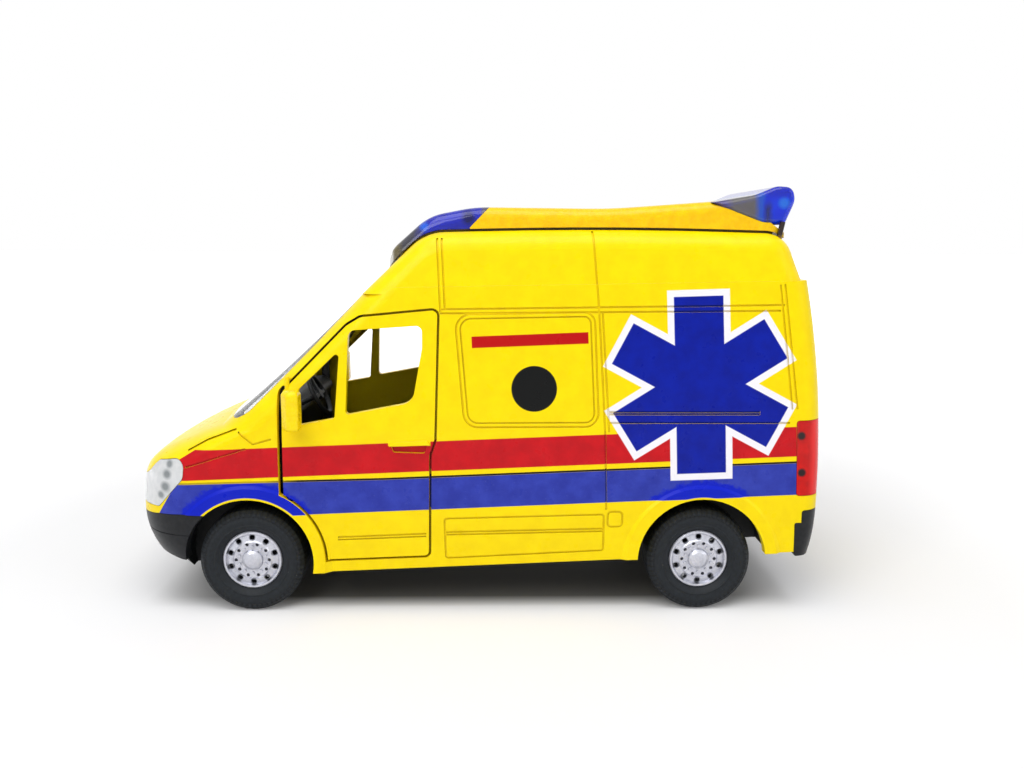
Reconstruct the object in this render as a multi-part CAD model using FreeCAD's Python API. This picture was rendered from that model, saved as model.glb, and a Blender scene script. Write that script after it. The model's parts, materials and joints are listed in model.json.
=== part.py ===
"""Die-cast toy ambulance: a high-roof van with a roof fairing that carries blue beacon lenses at both ends.

Units are millimetres. +X is forward, +Y is the vehicle's left and +Z is up.
The origin is on the ground, below the middle of the overall length.

How it is built, as the real toy is:
- a hollow cast body open below, with separate cast front doors and rear door leaves that close on inner stops,
- a high roof that stands on the body's gutter, and a fairing with two hollow beacon lenses seated on it,
- a black chassis moulding with wheel houses and axle bearings, and black bumpers at both ends,
- two wheel sets, each a steel axle with two rims and two rubber tyres that turn together.

Every outside surface comes from one form, body_form() below the gutter and roof_form() above it.
Doors, lamps, windscreen and bumpers are cut out of that same form, so their surfaces always run on.
Left-hand pieces are made first and the right-hand ones are their mirror images.
"""

import FreeCAD
import Part
import functools
import math
import os
from FreeCAD import Vector

# ---------------------------------------------------------------- driving sizes
WALL = 1.4                # thickness of the cast body and its doors
LAMP_WALL = 1.2           # thickness of the windscreen and the lamp glasses
LENS_WALL = 1.1           # thickness of the beacon lenses
PANEL_GAP = 0.4           # gap round an opening door
HINGE_GAP = 0.8           # wider gap in front of a front door's leading edge
PIECE_GAP = 0.08          # gap round lamps, glass, bumpers and grille in their openings
SEAT_GAP = 0.05           # gap between pieces that lie on each other
GROOVE_WIDTH = 0.3        # moulded panel lines
GROOVE_DEPTH = 0.24
NOSE_BOW_R = 80.0         # radius of the nose seen from above
BONNET_BOW_R = 150.0      # the same for the bonnet's front edge and the windscreen's middle
ROOF_BOW_R = 200.0        # the same for the windscreen's top
REAR_CORNER_R = 3.5       # radius of the rear corners seen from above

BELT_Z = 33.2             # bottom of the windscreen and top of the bonnet
GUTTER_Z = 58.3           # gutter between the cast body and the roof, above the origin
GUTTER_SLOPE = 0.019      # the gutter rises this much per millimetre rearward
ROOF_EDGE_R = 4.0

WHEELBASE = 80.2
FRONT_AXLE_X = 39.8
REAR_AXLE_X = FRONT_AXLE_X - WHEELBASE
TYRE_R = 9.4
TYRE_WIDTH = 7.4
TYRE_OUTER_Y = 24.7       # outer face of the tyres
RIM_R = 5.3
RIM_DEPTH = 0.7           # the rims lie this deep in the tyres
AXLE_R = 0.9
BEARING_CLEARANCE = 0.06  # radial play of axles and hinge stubs
ARCH_GAP = 2.1            # between tyre and arch edge
ARCH_R = TYRE_R + ARCH_GAP
ARCH_SHIFT = 0.3          # the arches lie this much further apart than the axles
FLARE_WIDTH = 2.0         # raised ring round each arch
FLARE_SLOPE = 1.4         # its sloping outer edge
FLARE_Y = 25.35           # outside of the rings
FENDER_STRIP = 2.5        # body metal between the front arch and the door
WHEEL_HOUSE_WALL = 0.7
WHEEL_HOUSE_R = ARCH_R + ARCH_SHIFT + 0.3

STUB_R = 0.42             # hinge stubs cast on the doors
STUB_LENGTH = 1.1
STOP_REACH = 1.2          # inner stops reach this far behind a door's edge
STOP_WALL = 0.8
STOP_GAP = 0.15           # play between a closed door and its stop

# Horizontal sections of the body, from below the sill up.
# columns: height z, front x on the centre line, half width y, front corner radius, rear x, bow radius of the front
LOWER_SECTIONS = (
    (4.0, 54.5, 24.1, 11.5, -59.3, NOSE_BOW_R),
    (7.5, 58.2, 24.5, 11.5, -60.0, NOSE_BOW_R),
    (11.5, 61.2, 24.8, 11.5, -61.1, NOSE_BOW_R),
    (17.0, 62.7, 25.0, 11.5, -61.8, NOSE_BOW_R),
    (22.0, 62.2, 25.0, 11.2, -61.9, NOSE_BOW_R + 10.0),
    (26.5, 60.1, 24.9, 10.5, -61.9, BONNET_BOW_R),
    (29.6, 55.4, 24.75, 9.5, -61.85, BONNET_BOW_R),
    (31.6, 51.0, 24.65, 8.5, -61.8, BONNET_BOW_R - 20.0),
    (BELT_Z, 47.0, 24.55, 7.5, -61.75, BONNET_BOW_R - 40.0),
)
UPPER_SECTIONS = (
    (BELT_Z, 47.0, 24.55, 7.5, -61.75, BONNET_BOW_R - 40.0),
    ((BELT_Z + GUTTER_Z) / 2, 32.2, 23.35, 6.5, -61.0, BONNET_BOW_R),
    (GUTTER_Z + 2.0, 17.2, 21.8, 5.5, -58.9, ROOF_BOW_R),
)

# The high roof stands back from the gutter by a small step. Its profile runs down inside the body.
ROOF_BASE_Z = GUTTER_Z - 1.5
ROOF_TOP_Z = GUTTER_Z + 10.0
# columns: x, z, corner radius
ROOF_PROFILE = (
    (30.4, GUTTER_Z - 11.7, 0.0), (8.7, ROOF_TOP_Z - 0.8, 9.0), (-25.0, ROOF_TOP_Z, 800.0), (-55.2, ROOF_TOP_Z - 0.8, 5.0),
    (-62.9, GUTTER_Z - 11.7, 0.0),
)
ROOF_HALF_WIDTH = 21.75   # at the gutter
ROOF_TAPER = 0.171        # the roof's sides lean in this much per millimetre of height


# ---------------------------------------------------------------- drawing tools
def rounded_wire(corners, place):
    """Closed wire through corners (a, b, radius); place(a, b) gives the point in space."""
    edges = []
    starts, ends, mids = [], [], []
    count = len(corners)
    for i, (a, b, radius) in enumerate(corners):
        before, after = corners[i - 1], corners[(i + 1) % count]
        to_before = Vector(before[0] - a, before[1] - b, 0).normalize()
        to_after = Vector(after[0] - a, after[1] - b, 0).normalize()
        here = Vector(a, b, 0)
        half = math.acos(max(-1.0, min(1.0, to_before.dot(to_after)))) / 2
        cut = radius / math.tan(half) if radius > 0 else 0.0
        starts.append(here + to_before * cut)
        ends.append(here + to_after * cut)
        bisector = (to_before + to_after).normalize() if radius > 0 else here
        mids.append(here + bisector * (radius / math.sin(half) - radius) if radius > 0 else here)
    for i in range(count):
        if corners[i][2] > 0:
            points = [place(p.x, p.y) for p in (starts[i], mids[i], ends[i])]
            edges.append(Part.Arc(*points).toShape())
        following = starts[(i + 1) % count]
        if (following - ends[i]).Length > 1e-6:
            ends_at = place(following.x, following.y)
            edges.append(Part.LineSegment(place(ends[i].x, ends[i].y), ends_at).toShape())
    return Part.Wire(edges)


def prism(wire, direction):
    """Solid with the closed wire as its base, with its faces turned outward."""
    solid = Part.Face(wire).extrude(direction)
    return solid if solid.Volume > 0 else solid.reversed()


def prism_y(corners, y_low, y_high):
    """Corners are (x, z, radius); the prism runs along Y."""
    wire = rounded_wire(corners, lambda a, b: Vector(a, y_low, b))
    return prism(wire, Vector(0, y_high - y_low, 0))


def prism_x(corners, x_low, x_high):
    """Corners are (y, z, radius); the prism runs along X."""
    wire = rounded_wire(corners, lambda a, b: Vector(x_low, a, b))
    return prism(wire, Vector(x_high - x_low, 0, 0))


def prism_z(corners, z_low, z_high):
    """Corners are (x, y, radius); the prism runs along Z."""
    wire = rounded_wire(corners, lambda a, b: Vector(a, b, z_low))
    return prism(wire, Vector(0, 0, z_high - z_low))


def grown(corners, distance):
    """The same outline with every side moved outward by distance."""
    count = len(corners)
    area = sum(corners[i - 1][0] * corners[i][1] - corners[i][0] * corners[i - 1][1] for i in range(count))
    turn = 1.0 if area > 0 else -1.0
    result = []
    for i, (a, b, radius) in enumerate(corners):
        before, after = corners[i - 1], corners[(i + 1) % count]
        into = Vector(a - before[0], b - before[1], 0).normalize()
        out_of = Vector(after[0] - a, after[1] - b, 0).normalize()
        normal_in = Vector(into.y, -into.x, 0) * turn
        normal_out = Vector(out_of.y, -out_of.x, 0) * turn
        shift = (normal_in + normal_out) * (distance / (1 + normal_in.dot(normal_out)))
        bulges = into.cross(out_of).z * turn > 0
        new_radius = radius + (distance if bulges else -distance)
        result.append((a + shift.x, b + shift.y, max(new_radius, 0.0) if radius > 0 else 0.0))
    return result


def box(x_range, y_range, z_range):
    size = (x_range[1] - x_range[0], y_range[1] - y_range[0], z_range[1] - z_range[0])
    return Part.makeBox(*size, Vector(x_range[0], y_range[0], z_range[0]))


def rod_y(radius, y_low, y_high, x, z):
    return Part.makeCylinder(radius, y_high - y_low, Vector(x, y_low, z), Vector(0, 1, 0))


def rod_between(radius, start, end):
    along = end - start
    return Part.makeCylinder(radius, along.Length, start, along)


def turned_y(profile, x, z):
    """Solid of revolution about a line along Y; the profile's points are (radius, y)."""
    points = [Vector(r, y, 0) for r, y in profile]
    solid = Part.Face(Part.makePolygon(points + [points[0]])).revolve(Vector(0, 0, 0), Vector(0, 1, 0), 360)
    solid = solid if solid.Volume > 0 else solid.reversed()
    solid.translate(Vector(x, 0, z))
    return solid


def mirrored(shape):
    return shape.mirror(Vector(0, 0, 0), Vector(0, 1, 0))


def both_sides(shapes):
    return shapes + [mirrored(shape) for shape in shapes]


def fused(shapes):
    whole = shapes[0].multiFuse(list(shapes[1:])) if len(shapes) > 1 else shapes[0]
    return whole.removeSplitter()


# ---------------------------------------------------------------- the body's form
def plan_section(z, front_x, half_width, corner_r, rear_x, bow_r, rear_r=REAR_CORNER_R):
    """Horizontal outline: bowed front, round front corners, straight sides, round rear corners."""
    centre_x = front_x - bow_r
    corner_y = half_width - corner_r
    corner_x = centre_x + math.sqrt((bow_r - corner_r) ** 2 - corner_y ** 2)
    angle = math.atan2(corner_y, corner_x - centre_x)
    join = (centre_x + bow_r * math.cos(angle), bow_r * math.sin(angle))
    middle = (angle + math.pi / 2) / 2
    corner_mid = (corner_x + corner_r * math.cos(middle), corner_y + corner_r * math.sin(middle))
    diagonal = rear_r * (1 - math.sqrt(0.5))
    side_front, side_rear = (corner_x, half_width), (rear_x + rear_r, half_width)
    rear_mid, rear_end = (rear_x + diagonal, half_width - diagonal), (rear_x, half_width - rear_r)

    def left(point):
        return Vector(point[0], point[1], z)

    def right(point):
        return Vector(point[0], -point[1], z)

    return Part.Wire([
        Part.LineSegment(left(side_rear), left(side_front)).toShape(),
        Part.Arc(left(side_front), left(corner_mid), left(join)).toShape(),
        Part.Arc(left(join), Vector(front_x, 0, z), right(join)).toShape(),
        Part.Arc(right(join), right(corner_mid), right(side_front)).toShape(),
        Part.LineSegment(right(side_front), right(side_rear)).toShape(),
        Part.Arc(right(side_rear), right(rear_mid), right(rear_end)).toShape(),
        Part.LineSegment(right(rear_end), left(rear_end)).toShape(),
        Part.Arc(left(rear_end), left(rear_mid), left(side_rear)).toShape(),
    ])


def inset_rows(rows, inset):
    """Section rows moved inward by inset, square to the front's slope; the end rows keep their height."""
    moved = []
    last = len(rows) - 1
    for i, (z, front_x, half_width, corner_r, rear_x, bow_r) in enumerate(rows):
        low, high = rows[max(i - 1, 0)], rows[min(i + 1, last)]
        slope = math.atan2(high[0] - low[0], low[1] - high[1])   # 90 degrees where the front is upright
        if i in (0, last):
            step_x, step_z = inset / math.sin(slope), 0.0
        else:
            step_x, step_z = inset * math.sin(slope), inset * math.cos(slope)
        corner, rear_corner = max(corner_r - inset, 1.0), max(REAR_CORNER_R - inset, 1.0)
        moved.append((z - step_z, front_x - step_x, half_width - inset, corner, rear_x + inset, bow_r, rear_corner))
    return moved


def loft(rows):
    solid = Part.makeLoft([plan_section(*row) for row in rows], True, False)
    return solid if solid.Volume > 0 else solid.reversed()


@functools.lru_cache(maxsize=None)
def body_form(inset):
    """Solid of the cast body from below the sill to above the gutter, every surface moved inward by inset."""
    lower, upper = inset_rows(LOWER_SECTIONS, inset), inset_rows(UPPER_SECTIONS, inset)
    lower[-1] = upper[0] = (BELT_Z - inset / 2,) + tuple(upper[0][1:])
    return loft(lower).fuse(loft(upper))


@functools.lru_cache(maxsize=None)
def roof_form(inset):
    """Solid of the high roof from below the gutter up; a negative inset is outside it."""
    reach = 20.0
    low_half, high_half = ROOF_HALF_WIDTH + ROOF_TAPER * reach, ROOF_HALF_WIDTH - ROOF_TAPER * reach
    front_view = ((low_half, GUTTER_Z - reach, 0.0), (high_half, GUTTER_Z + reach, 0.0),
                  (-high_half, GUTTER_Z + reach, 0.0), (-low_half, GUTTER_Z - reach, 0.0))
    form = prism_y(grown(ROOF_PROFILE, -inset), -40.0, 40.0).common(prism_x(grown(front_view, -inset), -80.0, 50.0))
    form = form.common(box((-80.0, 50.0), (-40.0, 40.0), (ROOF_BASE_Z, 90.0)))
    rim = [e for e in form.Edges if e.BoundBox.YMin * e.BoundBox.YMax > 0 and e.BoundBox.ZMax > ROOF_BASE_Z + 0.1]
    return form.makeFillet(max(ROOF_EDGE_R - inset, 0.8), rim)


def value_at(z, column):
    """A section column's value at height z, on the straight line between its rows."""
    rows = LOWER_SECTIONS + UPPER_SECTIONS[1:]
    for low, high in zip(rows, rows[1:]):
        if low[0] <= z <= high[0]:
            share = (z - low[0]) / (high[0] - low[0])
            return low[column] + share * (high[column] - low[column])
    return rows[-1][column]


def half_width_at(z):
    return value_at(z, 2)


def rear_x_at(z):
    return value_at(z, 4)


def front_x_at(z, y):
    """The nose's surface at height z, y off the middle plane."""
    front_x, half_width, corner_r, bow_r = (value_at(z, column) for column in (1, 2, 3, 5))
    corner_y = half_width - corner_r
    if y <= corner_y:
        return front_x - bow_r + math.sqrt(bow_r ** 2 - y ** 2)
    corner_x = front_x - bow_r + math.sqrt((bow_r - corner_r) ** 2 - corner_y ** 2)
    return corner_x + math.sqrt(max(corner_r ** 2 - (y - corner_y) ** 2, 0.0))


def gutter_z(x):
    return GUTTER_Z - GUTTER_SLOPE * x


def above_gutter():
    corners = ((-80.0, gutter_z(-80.0), 0), (-80.0, 95.0, 0), (80.0, 95.0, 0), (80.0, gutter_z(80.0), 0))
    return prism_y(corners, -40.0, 40.0)


# ---------------------------------------------------------------- outlines in side view: x, z, corner radius
DOOR_FRONT_X = 33.6
DOOR_SILL_Z = 9.5
DOOR_TOP_Z = GUTTER_Z - 4.2
DOOR = ((DOOR_FRONT_X, 39.9, 1.2), (22.3, DOOR_TOP_Z - 2.7, 2.5), (19.8, DOOR_TOP_Z - 1.2, 2.5), (6.4, DOOR_TOP_Z + 0.1, 1.0),
        (7.0, 31.6, 0.3), (7.9, 28.9, 0.3), (8.15, DOOR_SILL_Z + 1.0, 0.8), (DOOR_FRONT_X, DOOR_SILL_Z, 0.0))
DOOR_WINDOW = ((21.9, DOOR_TOP_Z - 3.5, 1.3), (9.1, DOOR_TOP_Z - 2.6, 1.1), (9.1, DOOR_TOP_Z - 6.5, 4.0), (10.8, 38.1, 2.6),
               (22.5, 35.9, 0.6))
QUARTER_WINDOW = ((30.7, 40.3, 0.7), (23.5, 47.2, 0.5), (24.4, 35.3, 0.6), (30.9, 34.1, 0.6))
DOOR_HANDLE = ((15.3, 30.5, 0.15), (14.3, 31.2, 0.3), (8.3, 31.5, 0.3), (7.6, 30.75, 0.15))
HANDLE_RECESS = ((14.6, 30.5, 0.2), (14.2, 29.4, 0.4), (8.7, 29.2, 0.4), (8.3, 30.7, 0.2))
HEADLAMP_SIDE = ((50.9, 28.3, 1.5), (51.2, 24.6, 2.0), (56.1, 19.3, 0.5), (72.0, 18.5, 0.0), (72.0, 22.5, 0.0),
                 (56.4, 27.2, 4.0))
TAIL_LAMP = ((-56.9, 34.9, 0.5), (-57.3, 21.5, 0.5), (-66.0, 21.6, 0.0), (-66.0, 35.2, 0.0))
FRONT_BUMPER = ((46.0, 17.9, 0.0), (52.0, 18.1, 3.0), (56.0, 17.9, 3.0), (60.0, 17.3, 0.0), (72.0, 17.3, 0.0), (72.0, 10.6, 0.0),
                (57.5, 10.3, 2.0), (52.5, 9.4, 2.0), (46.0, 9.2, 0.0))
REAR_BUMPER = ((-58.5, 18.7, 0.4), (-66.0, 18.9, 0.0), (-66.0, 9.8, 0.0), (-57.5, 10.2, 0.4), (-57.3, 16.4, 0.3),
               (-58.5, 16.4, 0.0))
SILL = ((-70.0, 11.5), (70.0, 5.6))       # lower edge of the body, nose down
BUMPER_DEPTH = 2.4
FRONT_VALANCE_Z = 12.0    # ahead of the wheels the casting ends here, behind the bumper

# outlines in front view: y, z, corner radius
WINDSCREEN = ((22.5, BELT_Z + 1.6, 1.5), (-22.5, BELT_Z + 1.6, 1.5), (-17.9, GUTTER_Z - 1.6, 2.5), (17.9, GUTTER_Z - 1.6, 2.5))
HEADLAMP_FRONT = ((12.4, 20.4, 1.0), (14.0, 22.6, 1.5), (20.5, 25.0, 2.0), (21.5, 28.6, 0.0), (30.0, 28.6, 0.0),
                  (30.0, 14.0, 0.0), (19.5, 18.6, 3.0))
GRILLE = ((11.2, 19.2, 0.8), (-11.2, 19.2, 0.8), (-12.6, 24.0, 1.0), (12.6, 24.0, 1.0))
GRILLE_BARS = 3
INTAKE = ((9.5, 11.3, 0.8), (-9.5, 11.3, 0.8), (-9.5, 14.5, 0.8), (9.5, 14.5, 0.8))
REAR_DOOR_SPLIT_Y = 0.2
REAR_DOOR_EDGE_Y = 19.4
REAR_DOOR_Z = (20.6, GUTTER_Z - 4.4)
REAR_HINGE_SIDE_GAP = 1.9 * PANEL_GAP     # a leaf's corner swings through the gap beside its hinge

DOOR_HINGE_X = 32.7
DOOR_HINGE_Z = (22.2, 40.6)       # where the stubs leave the door
REAR_HINGE_Y = 16.8
DOOR_STOP_FRONT_X = 31.2          # no stop ahead of this, where the door swings inward

AXLE_BLOCK_Y = (12.8, 16.6)
HUB_INNER_Y = 16.9
HOUSE_Y = (16.0, 23.3)            # wheel houses reach from here out to the body's side
FLOOR = 1.0                       # thickness of the cab's floor, which lies on the wheel houses
FLOOR_TOP_Z = TYRE_R + WHEEL_HOUSE_R + WHEEL_HOUSE_WALL + SEAT_GAP + FLOOR


# ---------------------------------------------------------------- body and doors
def side_region(corners, y_low=6.0):
    return prism_y(corners, y_low, 32.0)


def ring_region(corners, width):
    """A narrow band that follows an outline in side view."""
    return prism_y(grown(corners, width / 2), 6.0, 32.0).cut(prism_y(grown(corners, -width / 2), 5.0, 33.0))


def strip(x1, z1, x2, z2, width=GROOVE_WIDTH):
    """Straight band in side view from one point to another."""
    along = Vector(x2 - x1, z2 - z1, 0).normalize()
    across = Vector(-along.y, along.x, 0) * (width / 2)
    points = [(x1 + across.x, z1 + across.y, 0), (x2 + across.x, z2 + across.y, 0),
              (x2 - across.x, z2 - across.y, 0), (x1 - across.x, z1 - across.y, 0)]
    return prism_y(points, 6.0, 32.0)


def line_part(start, end, z_low, z_high):
    """The stretch of the line through start and end that lies between two heights."""
    def at(z):
        return start + (end - start) * ((z - start.z) / (end.z - start.z))
    return at(z_low), at(z_high)


def door_hinge_line():
    low, high = DOOR_HINGE_Z
    depth = WALL / 2
    return (Vector(DOOR_HINGE_X, half_width_at(low) - depth, low), Vector(DOOR_HINGE_X, half_width_at(high) - depth, high))


def rear_hinge_line():
    low, high = REAR_DOOR_Z
    depth = WALL / 2
    return (Vector(rear_x_at(low) + depth, REAR_HINGE_Y, low), Vector(rear_x_at(high) + depth, REAR_HINGE_Y, high))


def front_arch(radius):
    return rod_y(radius, 0.0, 40.0, FRONT_AXLE_X + ARCH_SHIFT, TYRE_R)


def arch_edges():
    places = (FRONT_AXLE_X + ARCH_SHIFT, REAR_AXLE_X - ARCH_SHIFT)
    return [rod_y(ARCH_R, -40.0, 40.0, x, TYRE_R) for x in places]


def flares():
    """Raised rings round the left arches, with sloping outer edges that run out into the side."""
    edge, foot = ARCH_R + FLARE_WIDTH, ARCH_R + FLARE_WIDTH + FLARE_SLOPE
    profile = ((ARCH_R - 1.0, FLARE_Y - 2.0), (ARCH_R - 1.0, FLARE_Y), (edge, FLARE_Y), (foot, FLARE_Y - 0.9),
               (foot, FLARE_Y - 2.0))
    return [turned_y(profile, x, TYRE_R) for x in (FRONT_AXLE_X + ARCH_SHIFT, REAR_AXLE_X - ARCH_SHIFT)]


def door_region(gap):
    """Left front door's outline with a gap all round; its lower front edge runs round the arch."""
    outline = grown(DOOR, gap)
    region = side_region(outline)
    if gap > 0:
        ahead = [(x + HINGE_GAP - PANEL_GAP, z, r) for x, z, r in outline]
        region = region.fuse(side_region(ahead).common(box((20.0, 45.0), (5.0, 33.0), (0.0, DOOR[0][1] + 1.0))))
    return region.cut(front_arch(ARCH_R + FENDER_STRIP - gap))


def rear_door_region(gap):
    """Left rear door leaf's outline in rear view with a gap all round."""
    low, high = REAR_DOOR_Z
    inner = REAR_DOOR_SPLIT_Y if gap == 0 else -REAR_DOOR_SPLIT_Y
    edge = REAR_DOOR_EDGE_Y + gap * REAR_HINGE_SIDE_GAP / PANEL_GAP
    corners = ((inner, low - gap, 0.0), (edge, low - gap, 1.0), (edge - 0.9, high + gap, 2.0), (inner, high + gap, 0.0))
    return prism_x(corners, -70.0, -50.0)


def layer(outer_depth, inner_depth):
    """The part of the body's wall between two depths."""
    return body_form(outer_depth).cut(body_form(inner_depth))


def stop_regions(clearance):
    """Places of the left inner stops: a foot under the wall beside each opening and a lip behind the door's edge."""
    foot = STOP_WALL / 2
    front_area = box((-20.0, DOOR_STOP_FRONT_X + clearance), (0.0, 33.0), (0.0, 70.0))
    rear_area = box((-70.0, -50.0), (0.0, REAR_HINGE_Y - 1.2 + clearance), (0.0, 70.0))
    regions = []
    for region, area in ((door_region, front_area), (rear_door_region, rear_area)):
        around = region(PANEL_GAP + foot + clearance).common(area)
        lip_layer = layer(WALL + STOP_GAP - clearance, WALL + STOP_GAP + STOP_WALL + clearance)
        foot_layer = layer(WALL / 2, WALL + STOP_GAP + STOP_WALL + clearance)
        regions.append(around.cut(region(-STOP_REACH - clearance)).common(lip_layer))
        regions.append(around.cut(region(PANEL_GAP)).common(foot_layer))
    return regions


def stub_holes():
    """Bearing holes for the left front door's and left rear leaf's hinge stubs."""
    low, high = door_hinge_line()
    radius = STUB_R + BEARING_CLEARANCE
    holes = [rod_between(radius, *line_part(low, high, low.z - STUB_LENGTH - 1.4, low.z)),
             rod_between(radius, *line_part(low, high, high.z, high.z + STUB_LENGTH + 1.6))]
    low, high = rear_hinge_line()
    holes.append(rod_between(radius, *line_part(low, high, low.z - STUB_LENGTH - 0.2, low.z)))
    holes.append(rod_between(radius, *line_part(low, high, high.z, high.z + STUB_LENGTH + 0.6)))
    return holes


def headlamp_region(gap):
    side = side_region(grown(HEADLAMP_SIDE, gap))
    return side.common(prism_x(grown(HEADLAMP_FRONT, gap), 45.0, 75.0))


def tail_lamp_region(gap):
    side = side_region(grown(TAIL_LAMP, gap))
    return side.common(box((-70, -50), (20.9 - gap, 30), (15, 40)))


def sill_z(x):
    (x1, z1), (x2, z2) = SILL
    return z1 + (z2 - z1) / (x2 - x1) * (x - x1)


def below_sill(raise_by=0.0):
    """Everything below the body's lower edge."""
    (x1, z1), (x2, z2) = SILL
    corners = ((x1, z1 + raise_by, 0), (x1, -10.0, 0), (x2, -10.0, 0), (x2, z2 + raise_by, 0))
    return prism_y(corners, -40.0, 40.0)


def panel_lines():
    """Moulded lines of the left side, as regions that are cut GROOVE_DEPTH deep."""
    width = GROOVE_WIDTH
    top = GUTTER_Z - 4.9
    window = ((3.4, top, 2.6), (-21.0, top + 0.5, 2.0), (-21.9, 33.9, 2.4), (1.7, 33.8, 2.6))
    low_panel = ((5.3, 17.4, 0.5), (-23.0, 18.1, 0.5), (-23.0, 11.4, 0.5), (5.1, 10.0, 0.5))
    flap = ((-23.7, 18.6, 0.7), (-26.3, 18.6, 0.7), (-26.3, 15.9, 0.7), (-23.7, 15.8, 0.7))
    rings = [ring_region(window, width), ring_region(grown(window, -0.75), width * 0.8),
             ring_region(low_panel, width), ring_region(flap, width)]
    # columns: x and z of one end, x and z of the other
    strips = (
        (5.2, 14.4, -22.9, 15.0), (5.2, 14.9, -22.9, 15.5),                       # double line of the low panel
        (5.9, top + 0.9, -54.3, top + 1.8), (5.9, top + 0.2, -53.6, top + 0.8),   # double line below the gutter
        (6.5, 66.5, 5.9, top + 0.4), (5.7, 66.5, 5.1, top + 0.9),                 # line pair above the door's edge
        (-20.7, 67.8, -21.8, top + 0.4), (-21.8, top + 0.4, -23.0, 33.0),         # line behind the front panel
        (-22.4, top + 0.4, -23.7, 33.0), (-23.0, 33.0, -23.4, 19.0),
        (-54.3, top + 5.4, -56.9, 37.0), (-53.5, top + 5.3, -56.0, 37.0),         # line pair along the rear corner
        (-23.3, 36.5, -50.3, 36.5), (-23.3, 36.1, -50.3, 36.1), (-23.4, 34.6, -55.6, 34.6),
        (41.7, 33.3, 46.9, 31.3), (46.9, 31.3, 50.4, 29.4),                       # bonnet's edge over the wing
        (40.0, 30.0, 44.9, 28.5), (44.9, 28.5, 50.6, 26.7),                       # crease of the wing
        (41.3, 32.9, 38.7, 30.8), (38.7, 30.8, 35.5, 31.7),                       # seam at the foot of the pillar
    )
    return rings + [strip(*ends) for ends in strips]


def door_lines():
    return [strip(24.2, 14.0, 8.6, 14.6), strip(24.2, 13.5, 8.6, 14.1, GROOVE_WIDTH * 0.8)]


# ---------------------------------------------------------------- roof fairing and beacon lenses
FAIRING_HALF_WIDTH = 16.8
FAIRING_NOSE_X = 16.9
FAIRING_REAR_X = -55.2
FAIRING_BOW = 2.0         # the front edge bows forward this much
FAIRING_CORNER = 2.6      # size of its round corners seen from above
FAIRING_EDGE_R = 2.2
REAR_LENS_EDGE_R = 1.0
FAIRING_TOP_Z = ROOF_TOP_Z + 3.6
FAIRING_GAP = 0.45        # dark joint between the fairing's rim and the roof
FAIRING_SEAT_IN = 1.6     # the fairing's seat stands this far in from its rim
FAIRING_TOP = ((17.4, GUTTER_Z + 2.0, 0.0), (14.3, GUTTER_Z + 6.7, 5.0), (8.2, FAIRING_TOP_Z - 1.5, 10.0),
               (0.0, FAIRING_TOP_Z + 0.1, 25.0), (-24.0, FAIRING_TOP_Z - 0.1, 100.0), (-47.0, FAIRING_TOP_Z + 1.6, 0.0))
REAR_LENS = ((-42.2, FAIRING_TOP_Z + 1.1, 0.0), (-49.9, FAIRING_TOP_Z + 2.4, 8.0), (-53.8, FAIRING_TOP_Z + 4.0, 3.0),
             (-56.6, FAIRING_TOP_Z + 3.8, 1.6), (-57.2, FAIRING_TOP_Z + 1.5, 3.0), (-55.4, ROOF_TOP_Z + 0.75, 0.2),
             (-51.4, ROOF_TOP_Z + 0.75, 5.0), (-46.4, ROOF_TOP_Z + 2.6, 8.0))
FRONT_LENS_REAR = ((-2.6, FAIRING_TOP_Z + 0.1), (0.9, ROOF_TOP_Z + 0.1))      # slanted rear edge of the front lens


def fairing_plan(inset):
    """Plan outline of the fairing: bowed front edge with round corners, straight sides."""
    nose, side, rear = FAIRING_NOSE_X - inset, FAIRING_HALF_WIDTH - inset, FAIRING_REAR_X + inset
    front_y, side_x = side - FAIRING_CORNER, nose - FAIRING_BOW - FAIRING_CORNER
    mid = FAIRING_CORNER * 0.32
    corner, mirror_corner = [(Vector(side_x, s * side, 55), Vector(nose - FAIRING_BOW - mid, s * (side - mid), 55),
                              Vector(nose - FAIRING_BOW, s * front_y, 55)) for s in (1, -1)]
    rear_left, rear_right = Vector(rear, side, 55), Vector(rear, -side, 55)
    edges = [
        Part.LineSegment(rear_left, corner[0]).toShape(),
        Part.Arc(*corner).toShape(),
        Part.Arc(corner[2], Vector(nose, 0, 55), mirror_corner[2]).toShape(),
        Part.Arc(*reversed(mirror_corner)).toShape(),
        Part.LineSegment(mirror_corner[0], rear_right).toShape(),
        Part.LineSegment(rear_right, rear_left).toShape(),
    ]
    return prism(Part.Wire(edges), Vector(0, 0, 25))


@functools.lru_cache(maxsize=None)
def fairing_block(inset):
    """Fairing with the front lens, before the roof is cut from below it; its top edges are rounded."""
    top = [(x, z - inset, r) for x, z, r in FAIRING_TOP]
    base_z = GUTTER_Z - 0.5
    outline = top + [(FAIRING_REAR_X - 0.6, ROOF_TOP_Z - 1.0, 0.0), (FAIRING_REAR_X, base_z, 0.0), (FAIRING_TOP[0][0], base_z, 0.0)]
    half = FAIRING_HALF_WIDTH - inset
    profile = prism_y(outline, -half, half)
    rim = [e for e in profile.Edges if e.BoundBox.YLength < 0.01 and e.BoundBox.ZMax > FAIRING_TOP[0][1] - inset + 0.1]
    rim = [e for e in rim if e.BoundBox.XMin > FAIRING_TOP[-1][0] - 0.1]
    return profile.makeFillet(max(FAIRING_EDGE_R - inset, 0.6), rim).common(fairing_plan(inset))


def front_lens_region(back):
    (x1, z1), (x2, z2) = FRONT_LENS_REAR
    corners = ((x1 - back, z1, 0), (x1 - back, z1 + 5.0, 0), (40.0, z1 + 5.0, 0), (40.0, 50.0, 0), (x2 - back, 50.0, 0),
               (x2 - back, z2, 0))
    return prism_y(corners, -25.0, 25.0)


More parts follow.
